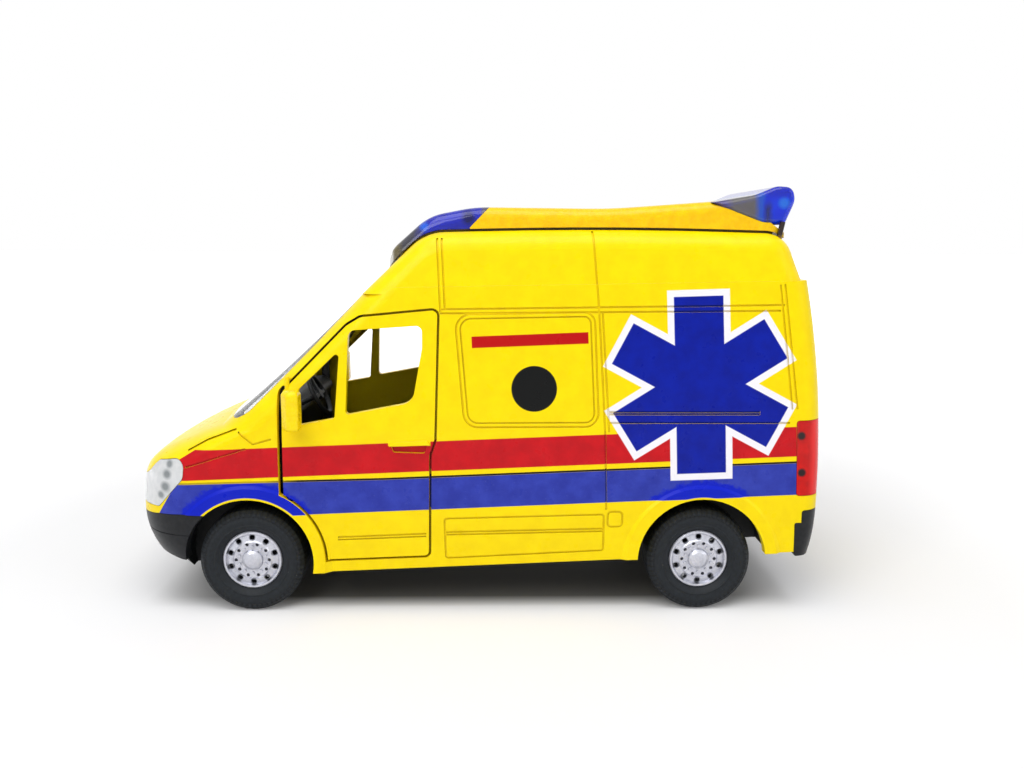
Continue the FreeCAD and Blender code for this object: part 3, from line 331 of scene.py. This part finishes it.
def star_distance(tree, along, above, border):
    """Distance outside three crossed bars, each made smaller by border; negative inside them."""
    da, db = tree.difference(along, STAR_CENTRE[0]), tree.difference(above, STAR_CENTRE[1])
    nearest = None
    for turn, half_width in STAR_BARS:
        angle = math.radians(turn + STAR_TURN)
        c, s = math.cos(angle), math.sin(angle)
        across = tree.sum(tree.product(da, c), tree.product(db, s))
        length = tree.sum(tree.product(da, -s), tree.product(db, c))
        past_side = tree.difference(tree.absolute(across), half_width - border)
        past_end = tree.difference(tree.absolute(length), STAR_HALF_LENGTH - border)
        bar = tree.math("MAXIMUM", past_side, past_end)
        nearest = bar if nearest is None else tree.math("MINIMUM", nearest, bar)
    return nearest


def behind_edge(tree, x, z, edge):
    """1 behind a slanted edge that starts at a point and runs forward as it goes down."""
    start_x, start_z, slant = edge
    line = tree.sum(x, tree.product(z, slant))
    return tree.under(line, start_x + start_z * slant, CUT_EDGE)


def arch_distance(tree, x, z):
    """Distance from the nearer wheel arch's centre."""
    front, rear = (tree.distance(x, z, (centre.x, centre.z)) for centre in ARCHES.values())
    return tree.math("MINIMUM", front, rear)


def blue_shade(tree, grain, from_arch):
    """Scuffed blue print, deeper over the arches with a ragged edge between the two."""
    scuffs = tree.ramp(tree.noise(1.6, 6.0, 0.7), 0.60, 0.72)
    flat = tree.mix(tree.product(scuffs, 0.35), tree.mix(grain, BLUE, BLUE_DEEP), BLUE_SCUFFED)
    ragged = tree.sum(from_arch, tree.uneven(0.9, -0.5, 0.5, 3.0))
    near, far = (ARCH_R + reach for reach in ARCH_BLUE_REACH)
    return tree.mix(tree.ramp(ragged, near, far, 1.0, 0.0), flat, ARCH_BLUE)


def with_bands(tree, shade, grain, side, along, above):
    """The shade with both bands and the hairline between them, and the red band's mask."""
    x, _, z = tree.millimetres()
    bands = tree.product(tree.over(along, BAND_REAR, PRINT_EDGE), side)
    red = tree.product(bands, tree.inside(above, *RED_BAND), behind_edge(tree, x, z, RED_FRONT))
    shade = tree.mix(red, shade, tree.mix(grain, RED, RED_DEEP))

    start, end, rise = FRONT_RISE
    level = tree.difference(above, tree.ramp(along, start, end, 0.0, rise))
    bottom = tree.over(above, BLUE_BAND[0], PRINT_EDGE)
    top = tree.under(level, BLUE_BAND[1], PRINT_EDGE)
    cut = behind_edge(tree, x, z, BLUE_FRONT)
    from_arch = arch_distance(tree, x, z)
    shade = tree.mix(tree.product(bands, bottom, top, cut), shade, blue_shade(tree, grain, from_arch))
    shade = tree.mix(tree.under(from_arch, ARCH_R + LIP_WIDTH, LIP_EDGE), shade, YELLOW)

    hairline = tree.product(bands, tree.inside(level, *HAIRLINE, HAIRLINE_EDGE), cut)
    fade = tree.ramp(along, *HAIRLINE_FADE, 1.0, 0.5)
    shade = tree.mix(tree.product(hairline, fade), shade, HAIRLINE_BLACK)
    x_from, x_to, z_from, z_to = DOOR_FLAP
    flap = tree.product(tree.inside(x, x_from, x_to), tree.inside(z, z_from, z_to), side)
    return tree.mix(flap, shade, YELLOW), red


def with_signs(tree, shade, grain, side, along, above):
    """The shade with the plain star in its white border, the plain bar and the plain disc."""
    border = tree.under(star_distance(tree, along, above, 0.0), 0.0, CUT_EDGE)
    star = tree.under(star_distance(tree, along, above, STAR_BORDER), 0.0, CUT_EDGE)
    along_from, along_to, above_from, above_to = BAR_BOX
    bar = tree.product(tree.inside(along, along_from, along_to), tree.inside(above, above_from, above_to))
    disc = tree.under(tree.distance(along, above, DISC_CENTRE), DISC_R, CUT_EDGE)
    star_shade = tree.mix(grain, STAR_BLUE, STAR_DEEP)
    for mask, colour in ((border, WHITE), (star, star_shade), (bar, BAR_RED), (disc, DISC_BLACK)):
        shade = tree.mix(tree.product(mask, side), shade, colour)
    return shade


def with_shadow(tree, shade, facing, red):
    """The colour with painted shade on the inner walls and in the moulded lines and gaps, less so on the red.
    """
    # painted shade: walls that face inward are dulled towards a dark yellow
    shade = tree.mix(tree.ramp(facing, -0.5, -0.3, 0.8, 0.0), shade, PAINTED_INSIDE_SHADE)
    # painted shade from ambient occlusion: a little in the moulded lines, dark in the gaps
    recess = tree.recess(0.8)
    strength = tree.ramp(red, 0.0, 0.5, 1.0, 0.4)
    line_shade = tree.ramp(recess, 0.25, 0.62, 0.28, 0.0)
    gap_shade = tree.ramp(recess, 0.03, 0.18, 0.8, 0.0)
    shade = tree.mix(tree.product(line_shade, strength), shade, tree.darker(shade, 0.22))
    return tree.mix(tree.product(gap_shade, strength), shade, PAINTED_GAP_SHADE)


def livery_material():
    """Yellow enamel with the red and blue bands, the plain star, bar and disc."""
    tree = Nodes("yellow_enamel_livery")
    along, above, off_centre = body_axes(tree)
    facing = outward_facing(tree)
    side = tree.product(tree.ramp(facing, *SIDE_FACING), tree.ramp(off_centre, *SIDE_FROM))
    grain = tree.ramp(tree.noise(0.35, 5.0, 0.6), 0.35, 0.65)
    shade = tree.mix(grain, YELLOW, YELLOW_WORN)
    shade, red = with_bands(tree, shade, grain, side, along, above)
    shade = with_signs(tree, shade, grain, side, along, above)
    shade = with_shadow(tree, shade, facing, red)
    normal = tree.bump(tree.noise(2.2, 2.0), 0.05, 0.05, tree.soft_edges(0.16))
    return tree.set(Base_Color=shade, Roughness=tree.uneven(0.5, 0.26, 0.36), Normal=normal,
                    Specular_IOR_Level=0.14, Coat_Weight=0.03, Coat_Roughness=0.06)


# ---------------------------------------------------------------- plastics and metals
def gloss_plastic(name, colour, deeper, rough, grain, coat=0.0, edge_shade=0.0):
    """Moulded plastic; the last argument is how strongly painted shade darkens its edges where it lies
    against the next piece.
    """
    tree = Nodes(name)
    shade = tree.mottled(grain * 0.4, colour, deeper)
    # painted shade along the edges that lie against the next piece
    if edge_shade:
        shade = tree.with_painted_recess_shade(shade, 0.9, 0.25, 0.80, edge_shade, PAINTED_GAP_SHADE)
    normal = tree.bump(tree.noise(grain, 3.0), 0.08, 0.05, tree.soft_edges(0.12))
    return tree.set(Base_Color=shade, Roughness=tree.uneven(grain, rough - 0.06, rough + 0.06), Normal=normal,
                    Specular_IOR_Level=0.2, Coat_Weight=coat, Coat_Roughness=0.05)


def finish_metal(tree, shade, rough, metallic=1.0):
    """A fine cast grain and soft edges; rough is the range of the roughness."""
    normal = tree.bump(tree.noise(4.0, 3.0), 0.06, 0.05, tree.soft_edges(0.08))
    return tree.set(Base_Color=shade, Roughness=tree.uneven(3.0, *rough), Normal=normal, Metallic=metallic)


def metal(name, colour, deeper, rough):
    """Bare metal in two shades."""
    tree = Nodes(name)
    return finish_metal(tree, tree.mottled(1.5, colour, deeper, spread=0.2), rough)


# ---------------------------------------------------------------- windows, lamps and light bars
def glazing_material():
    """Thin clear windows, faintly wavy."""
    tree = Nodes("clear_glazing")
    normal = tree.bump(tree.noise(0.9, 2.0), 0.03, 0.05)
    return tree.set(Base_Color=(0.97, 0.98, 0.98), Roughness=tree.uneven(2.0, 0.028, 0.056), Normal=normal,
                    Transmission_Weight=0.94, IOR=1.25, Coat_Weight=0.1, Coat_Roughness=0.03)


def finish_lens(tree, shade):
    """Half clear plastic over the light bar's own colours."""
    normal = tree.bump(tree.noise(0.7, 2.0), 0.05, 0.08)
    return tree.set(Base_Color=shade, Roughness=tree.uneven(2.0, 0.05, 0.10), Normal=normal,
                    Transmission_Weight=0.5, IOR=CLEAR_PLASTIC_IOR, Specular_IOR_Level=0.2,
                    Coat_Weight=0.15, Coat_Roughness=0.03)


def front_lens_material():
    """Blue in the middle, smoky to both ends, with a painted highlight, an olive tip that is a painted
    reflection of yellow, and painted shade where it meets the next piece.
    """
    tree = Nodes("blue_lens_front")
    x, _, z = tree.millimetres()
    wavy = tree.sum(x, tree.uneven(0.25, -0.7, 0.7, 2.0))
    shade = tree.mottled(0.45, linear(26, 34, 196), linear(34, 50, 222), 3.0)
    smoky_nose = tree.ramp(wavy, 8.6, 11.4)
    # painted reflection: the olive tint at the tip stands for the yellow reflected in the clear plastic
    tip_reflection = tree.ramp(wavy, 12.6, 14.6)
    smoky_tail = tree.ramp(wavy, -1.6, -0.8, 1.0, 0.0)
    shade = tree.mix(smoky_nose, shade, linear(84, 84, 96))
    shade = tree.mix(tip_reflection, shade, linear(136, 122, 70))
    # painted highlight: a pale blue spot
    shade = tree.mix(tree.spot(x, z, *FRONT_HIGHLIGHT), shade, linear(40, 120, 255))
    shade = tree.mix(tree.spot(x, z, *FRONT_KNOB), shade, linear(10, 10, 118))
    shade = tree.mix(smoky_tail, shade, linear(112, 104, 128))
    # painted shade where the lens meets the next piece
    shade = tree.with_painted_recess_shade(shade, 0.8, 0.25, 0.75, 0.8, linear(18, 16, 30))
    return finish_lens(tree, shade)


def rear_lens_material():
    """Clear smoke ahead of an inner post, bright blue behind it, with a pale blue spot and painted shade
    where it meets the next piece.
    """
    tree = Nodes("blue_lens_rear")
    x, _, z = tree.millimetres()
    wavy = tree.sum(x, tree.uneven(0.5, -0.15, 0.15, 2.0))
    shade = tree.mottled(0.4, linear(0, 56, 246), linear(2, 74, 255), 3.0)
    crown = tree.ramp(z, 73.6, 74.8)
    pale_strip = tree.ramp(wavy, -51.7, -51.0)
    post = tree.product(tree.inside(wavy, -52.75, -51.6, 0.4), tree.ramp(z, 72.0, 73.6, 1.0, 0.0), 0.85)
    smoke = tree.ramp(wavy, -50.7, -49.7)
    violet_front = tree.ramp(wavy, -46.2, -44.6)
    # a pale blue spot
    shade = tree.mix(tree.spot(x, z, *REAR_PALE_SPOT), shade, linear(40, 140, 255))
    shade = tree.mix(crown, shade, linear(18, 44, 214))
    shade = tree.mix(pale_strip, shade, linear(38, 104, 228))
    shade = tree.mix(post, shade, linear(48, 54, 110))
    shade = tree.mix(smoke, shade, linear(126, 122, 120))
    shade = tree.mix(violet_front, shade, linear(106, 92, 156))
    # painted shade where the lens meets the next piece
    shade = tree.with_painted_recess_shade(shade, 0.8, 0.25, 0.75, 0.9, linear(14, 12, 30))
    return finish_lens(tree, shade)


def headlamp_material():
    """Nearly clear lens whose moulded cups show as soft grey ovals."""
    tree = Nodes("lamp_glass")
    x, _, z = tree.millimetres()
    shade = tree.mottled(0.8, linear(250, 251, 252), linear(240, 242, 244), spread=0.1)
    for centre, radius in HEADLAMP_CUPS:
        cup = tree.product(tree.spot(x, z, centre, radius), 0.85)
        shade = tree.mix(cup, shade, linear(128, 136, 140))
    normal = tree.bump(tree.noise(0.9, 2.0), 0.03, 0.05)
    return tree.set(Base_Color=shade, Roughness=tree.uneven(2.0, 0.04, 0.08), Normal=normal,
                    Transmission_Weight=0.4, IOR=CLEAR_PLASTIC_IOR, Coat_Weight=0.3, Coat_Roughness=0.03)


def tail_lamp_material():
    """Red clear plastic over a dark backing, with two dark pin marks and a brighter rear corner."""
    tree = Nodes("red_lens")
    x, y, z = tree.millimetres()
    shade = tree.mottled(0.5, linear(196, 8, 4), linear(222, 12, 6), 3.0)
    rear_corner = tree.ramp(x, -60.2, -59.2, 1.0, 0.0)
    front_edge = tree.ramp(x, -57.3, -57.0)
    outer_wall = tree.ramp(tree.absolute(y), 22.5, 23.0)
    shade = tree.mix(rear_corner, shade, linear(244, 40, 38))
    shade = tree.mix(front_edge, shade, linear(206, 40, 34))
    for place in TAIL_LAMP_PINS:
        pin = tree.ramp(tree.distance(x, z, place), *TAIL_LAMP_PIN_EDGE, 1.0, 0.0)
        shade = tree.mix(tree.product(pin, outer_wall), shade, linear(40, 22, 24))
    normal = tree.bump(tree.noise(0.9, 2.0), 0.04, 0.06)
    return tree.set(Base_Color=shade, Roughness=tree.uneven(2.0, 0.08, 0.16), Normal=normal,
                    Transmission_Weight=0.12, IOR=CLEAR_PLASTIC_IOR, Specular_IOR_Level=0.16,
                    Coat_Weight=0.05, Coat_Roughness=0.04)


# ---------------------------------------------------------------- wheels
def wheel_axes(tree, axle):
    """Distances forward of and above the axle, and the distance from it."""
    x, _, z = tree.millimetres()
    centre = AXLES[axle]
    radius = tree.distance(x, z, (centre.x, centre.z))
    return tree.difference(x, centre.x), tree.difference(z, centre.z), radius


def tyre_material(axle):
    """Dull rubber with small shoulder blocks round the tread, painted shade in the grooves between them, and
    a fine ring on the sidewall.
    """
    tree = Nodes("tyre_rubber_" + axle)
    ahead, up, radius = wheel_axes(tree, axle)
    wave = tree.math("SINE", tree.product(tree.math("ARCTAN2", up, ahead), TREAD_BLOCKS))
    blocks = tree.product(tree.ramp(wave, -0.35, 0.0), tree.ramp(radius, *TREAD_FROM))
    ring = tree.product(tree.inside(radius, *SIDEWALL_RING, 0.1), 0.5)
    dust = tree.noise(1.3, 5.0, 0.65)
    specks = tree.ramp(tree.noise(3.2, 3.0), 0.72, 0.78)
    # painted shade: the grooves between the shoulder blocks are darkened
    groove_shade = tree.math("SUBTRACT", tree.ramp(radius, *SHOULDER_GROOVE_SHADE), blocks, clamp=True)
    shade = tree.mix(tree.ramp(dust, 0.4, 0.7), linear(20, 24, 28), linear(32, 37, 42))
    shade = tree.mix(specks, shade, linear(90, 94, 98))
    shade = tree.mix(tree.product(groove_shade, 0.55), shade, linear(6, 7, 8))
    normal = tree.bump(tree.sum(blocks, ring), 0.7, 0.3, tree.bump(tree.noise(5.0), 0.12, 0.05))
    return tree.set(Base_Color=shade, Roughness=tree.ramp(dust, 0.3, 0.7, 0.5, 0.65), Normal=normal,
                    Specular_IOR_Level=0.25)


def rim_material(axle):
    """Silver paint, with painted shade round the ventilation slots and in the corners."""
    tree = Nodes("silver_rim_" + axle)
    ahead, up, radius = wheel_axes(tree, axle)
    turn = tree.math("ARCTAN2", ahead, up)
    step = 2 * math.pi / RIM_SLOTS
    nearest = tree.product(tree.math("ROUND", tree.math("DIVIDE", turn, step)), step)
    sideways = tree.product(radius, tree.math("SINE", tree.difference(turn, nearest)))
    outward = tree.product(tree.difference(radius, RIM_SLOT_R), RIM_SLOT_SQUEEZE)
    slot = tree.distance(sideways, outward, (0.0, 0.0))
    shade = tree.mottled(1.5, linear(206, 207, 216), linear(184, 186, 196), spread=0.2)
    # painted shade round each slot, and in the corners
    shade = tree.mix(tree.ramp(slot, *RIM_SLOT_EDGE, 0.85, 0.0), shade, linear(72, 76, 84))
    shade = tree.with_painted_recess_shade(shade, 0.7, 0.2, 0.7, 0.7, linear(96, 98, 106))
    return finish_metal(tree, shade, (0.26, 0.40), metallic=0.75)


# ---------------------------------------------------------------- which piece wears what
def dress_nodes():
    """Gives every carried node its material: by its own name, by its axle or by its slot."""
    by_slot = {
        "yellow_enamel": livery_material(),
        "yellow_plastic": gloss_plastic("yellow_plastic", linear(252, 208, 0), linear(244, 194, 0),
                                        rough=0.28, grain=2.0, coat=0.08, edge_shade=0.95),
        "black_trim": gloss_plastic("black_trim", (0.010, 0.011, 0.013), (0.016, 0.017, 0.019),
                                    rough=0.35, grain=3.0),
        "black_plastic": gloss_plastic("black_plastic", (0.010, 0.011, 0.012), (0.016, 0.017, 0.018),
                                       rough=0.5, grain=3.0),
        "clear_glazing": glazing_material(),
        "lamp_glass": headlamp_material(),
        "red_lens": tail_lamp_material(),
        "reflector": metal("reflector", (0.90, 0.90, 0.92), (0.82, 0.82, 0.84), rough=(0.22, 0.38)),
        "steel": metal("steel", (0.58, 0.58, 0.60), (0.5, 0.5, 0.52), rough=(0.27, 0.43)),
    }
    mirror = gloss_plastic("yellow_mirror", linear(255, 226, 0), linear(250, 216, 0),
                           rough=0.28, grain=2.0, coat=0.06, edge_shade=0.5)
    by_name = {"mirror_left": mirror, "mirror_right": mirror,
               "front_lens": front_lens_material(), "rear_lens": rear_lens_material()}
    by_axle = {"tyre_rubber": {axle: tyre_material(axle) for axle in AXLES},
               "silver_rim": {axle: rim_material(axle) for axle in AXLES}}
    slots = {entry["node"]: entry["material_slot"] for entry in frame["record"]["subparts"]}
    for name, node in NODES.items():
        slot = slots[name]
        if slot in by_axle:
            material = by_axle[slot][name.split("_")[1]]
        else:
            material = by_name.get(name) or by_slot[slot]
        node.data.materials.clear()
        node.data.materials.append(material)


# ---------------------------------------------------------------- thin trim
def add_object(name, data):
    made = bpy.data.objects.new(name, data)
    bpy.context.scene.collection.objects.link(made)
    return made


def between(table, value):
    """Straight-line reading of a short table of pairs."""
    for (start, first), (end, last) in zip(table, table[1:]):
        if value <= end:
            return first + (last - first) * max(value - start, 0.0) / (end - start)
    return table[-1][1]


def rounded_route(corners, share=0.35, steps=6):
    """The route with each corner replaced by a curve over a share of its shorter run."""
    corners = [Vector(corner) for corner in corners]
    points = [corners[0]]
    for before, corner, after in zip(corners, corners[1:], corners[2:]):
        cut = share * min((corner - before).length, (after - corner).length)
        start = corner + cut * (before - corner).normalized()
        end = corner + cut * (after - corner).normalized()
        for step in range(steps + 1):
            t = step / steps
            points.append((1 - t) ** 2 * start + 2 * t * (1 - t) * corner + t ** 2 * end)
    return points + [corners[-1]]


def chamfered_outline(width, thickness):
    """The eight corners of a flat strip's section."""
    w, t = width / 2, thickness / 2
    w_flat, t_flat = w - EDGE_CUT, t - EDGE_CUT
    return ((-w_flat, -t), (w_flat, -t), (w, -t_flat), (w, t_flat),
            (w_flat, t), (-w_flat, t), (-w, t_flat), (-w, -t_flat))


def ribbon(name, route, across_at, width, thickness, side):
    """A flat strip with chamfered edges along a route in the side view, at a table's distances across."""
    outline = chamfered_outline(width, thickness)
    sides = len(outline)
    points = rounded_route(route)
    corners, faces = [], []
    for i, point in enumerate(points):
        ahead = points[min(i + 1, len(points) - 1)] - points[max(i - 1, 0)]
        across = Vector((-ahead.y, ahead.x)).normalized()
        for sideways, outward in outline:
            place = point + sideways * across
            y = side * (between(across_at, point.y) + outward)
            corners.append((place.x * MM, y * MM, place.y * MM))
    for ring in range(len(points) - 1):
        for k in range(sides):
            a, b = ring * sides + k, ring * sides + (k + 1) % sides
            faces.append((a, b, b + sides, a + sides))
    faces += [tuple(range(sides))[::-1], tuple(range(len(corners) - sides, len(corners)))]
    mesh = bpy.data.meshes.new(name)
    mesh.from_pydata(corners, [], faces)
    shaped = bmesh.new()
    shaped.from_mesh(mesh)
    bmesh.ops.recalc_face_normals(shaped, faces=shaped.faces)
    shaped.to_mesh(mesh)
    shaped.free()
    return add_object(name, mesh)


def clip_material():
    """Clear amber lug, dark where it leaves the lens."""
    tree = Nodes("lens_clip")
    _, _, z = tree.millimetres()
    shade = tree.mottled(1.2, linear(196, 160, 40), linear(150, 112, 20))
    shade = tree.mix(tree.ramp(z, 66.6, 67.4), shade, linear(40, 20, 8))
    normal = tree.bump(tree.noise(2.0), 0.06, 0.05)
    return tree.set(Base_Color=shade, Roughness=tree.uneven(2.0, 0.08, 0.16), Normal=normal,
                    Transmission_Weight=0.3, IOR=CLEAR_PLASTIC_IOR)


def add_trim():
    """Rubber seal inside each front door's leading edge, and the lugs that hold the rear lens."""
    rubber = gloss_plastic("seal_rubber", (0.008, 0.008, 0.008), (0.014, 0.014, 0.014), rough=0.6, grain=3.0)
    amber = clip_material()
    for hand, side in (("left", 1), ("right", -1)):
        seal = ribbon("door_seal_" + hand, SEAL_ROUTE, SEAL_Y, SEAL_WIDTH, SEAL_THICKNESS, side)
        clip = ribbon("lens_clip_" + hand, CLIP_ROUTE, CLIP_Y, CLIP_WIDTH, CLIP_THICKNESS, side)
        for piece, material, slot in ((seal, rubber, "black_plastic"), (clip, amber, "clear_glazing")):
            piece.data.materials.append(material)
            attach(piece, "body")


# ---------------------------------------------------------------- camera, floor and light
def turned(first, second, angle):
    """Two axes turned in their own plane, the second one towards the first."""
    cosine, sine = math.cos(angle), math.sin(angle)
    return cosine * first - sine * second, cosine * second + sine * first


def camera_axes():
    """Right, up and forward of a camera that looks across the toy from its left side."""
    right, up, forward = Vector((-1, 0, 0)), Vector((0, 0, 1)), Vector((0, -1, 0))
    right, forward = turned(right, forward, CAMERA_YAW)
    forward, up = turned(forward, up, CAMERA_PITCH)
    up, right = turned(up, right, CAMERA_ROLL)
    return right, up, forward


def add_camera():
    data = bpy.data.cameras.new("camera")
    data.sensor_width = CAMERA_SENSOR
    data.lens = CAMERA_SENSOR * CAMERA_FOCUS
    data.clip_start = 0.005
    camera = add_object("camera", data)
    right, up, forward = camera_axes()
    turn = Matrix((right, up, -forward)).transposed().to_4x4()
    camera.matrix_world = Matrix.Translation(CAMERA_PLACE * MM) @ turn
    bpy.context.scene.camera = camera


def painted_floor_shadow(tree, x, y):
    """Share of the painted shadow on the floor: 1 under the toy, fading out near its ends and sides."""
    (x_min, y_min, _), (x_max, y_max, _) = CAD_BOX
    from_middle = tree.absolute(tree.difference(x, (x_min + x_max) / 2))
    past_end = tree.difference(from_middle, (x_max - x_min) / 2 - CONTACT_INSET[0])
    past_side = tree.difference(tree.absolute(y), (y_max - y_min) / 2 - CONTACT_INSET[1])
    return tree.product(tree.ramp(past_end, -CONTACT_BLUR[0], 0.0, 1.0, 0.0),
                        tree.ramp(past_side, -CONTACT_BLUR[1], 0.0, 1.0, 0.0))


def floor_material():
    """White paper with a painted shadow where the toy stands, and light added so that it meets the
    background.
    """
    tree = Nodes("floor_paper")
    x, y, _ = tree.split(tree.place.outputs["Object"])
    shadow_share = painted_floor_shadow(tree, x, y)
    # the painted shadow: the paper's colour darkened under the toy
    tree.set(Base_Color=tree.mix(shadow_share, FLOOR_WHITE, PAINTED_SHADOW_GREY), Roughness=0.7)

    rays = tree.add("ShaderNodeLightPath")
    seen = tree.math("ADD", rays.outputs["Is Camera Ray"], rays.outputs["Is Transmission Ray"], clamp=True)
    seen = tree.math("MAXIMUM", seen, rays.outputs["Is Glossy Ray"])
    away = tree.distance(x, y, (0.0, 0.0))
    lift = tree.add("ShaderNodeEmission")
    tree.feed(lift.inputs["Color"], (1.0, 1.0, 1.0))
    # no light is added where the painted shadow lies
    brightness = tree.product(tree.ramp(away, *FLOOR_LIFT_REACH, *FLOOR_LIFT), tree.difference(1.0, shadow_share))
    tree.feed(lift.inputs["Strength"], tree.product(seen, brightness))
    both = tree.add("ShaderNodeAddShader")
    tree.feed(both.inputs[0], tree.shader.outputs[0])
    tree.feed(both.inputs[1], lift.outputs[0])
    tree.feed(tree.tree.nodes["Material Output"].inputs["Surface"], both.outputs[0])
    return tree.material


def add_floor():
    """A square table top round the toy."""
    corners = [(x * FLOOR_HALF, y * FLOOR_HALF, 0.0) for x, y in ((-1, -1), (1, -1), (1, 1), (-1, 1))]
    mesh = bpy.data.meshes.new("floor")
    mesh.from_pydata(corners, [], [(0, 1, 2, 3)])
    mesh.materials.append(floor_material())
    floor = add_object("floor", mesh)


def add_light(name, place, size, power):
    data = bpy.data.lights.new(name, "AREA")
    data.shape = "RECTANGLE"
    data.size, data.size_y = size
    data.energy = power
    light = add_object(name, data)
    light.location = place
    light.rotation_euler = (Vector(LIGHT_AIM) - Vector(place)).to_track_quat("-Z", "Y").to_euler()


def add_surroundings():
    """White to look at, to look through and in gloss, and softer as a light."""
    world = bpy.data.worlds.new("studio")
    bpy.context.scene.world = world
    world.use_nodes = True
    tree = world.node_tree
    background = tree.nodes["Background"]
    background.inputs["Color"].default_value = (1.0, 1.0, 1.0, 1.0)
    rays = tree.nodes.new("ShaderNodeLightPath")
    seen = rays.outputs["Is Camera Ray"]
    for kind in ("Is Transmission Ray", "Is Glossy Ray"):
        either = tree.nodes.new("ShaderNodeMath")
        either.operation = "MAXIMUM"
        tree.links.new(seen, either.inputs[0])
        tree.links.new(rays.outputs[kind], either.inputs[1])
        seen = either.outputs[0]
    level = tree.nodes.new("ShaderNodeMapRange")
    level.inputs["To Min"].default_value = WORLD_LIGHT
    level.inputs["To Max"].default_value = 1.0
    tree.links.new(seen, level.inputs["Value"])
    tree.links.new(level.outputs["Result"], background.inputs["Strength"])


def add_studio():
    """White surroundings and three softboxes."""
    add_surroundings()
    for softbox in SOFTBOXES:
        add_light(*softbox)
    bpy.context.scene.view_settings.view_transform = "Standard"


dress_nodes()
add_trim()
add_camera()
add_floor()
add_studio()
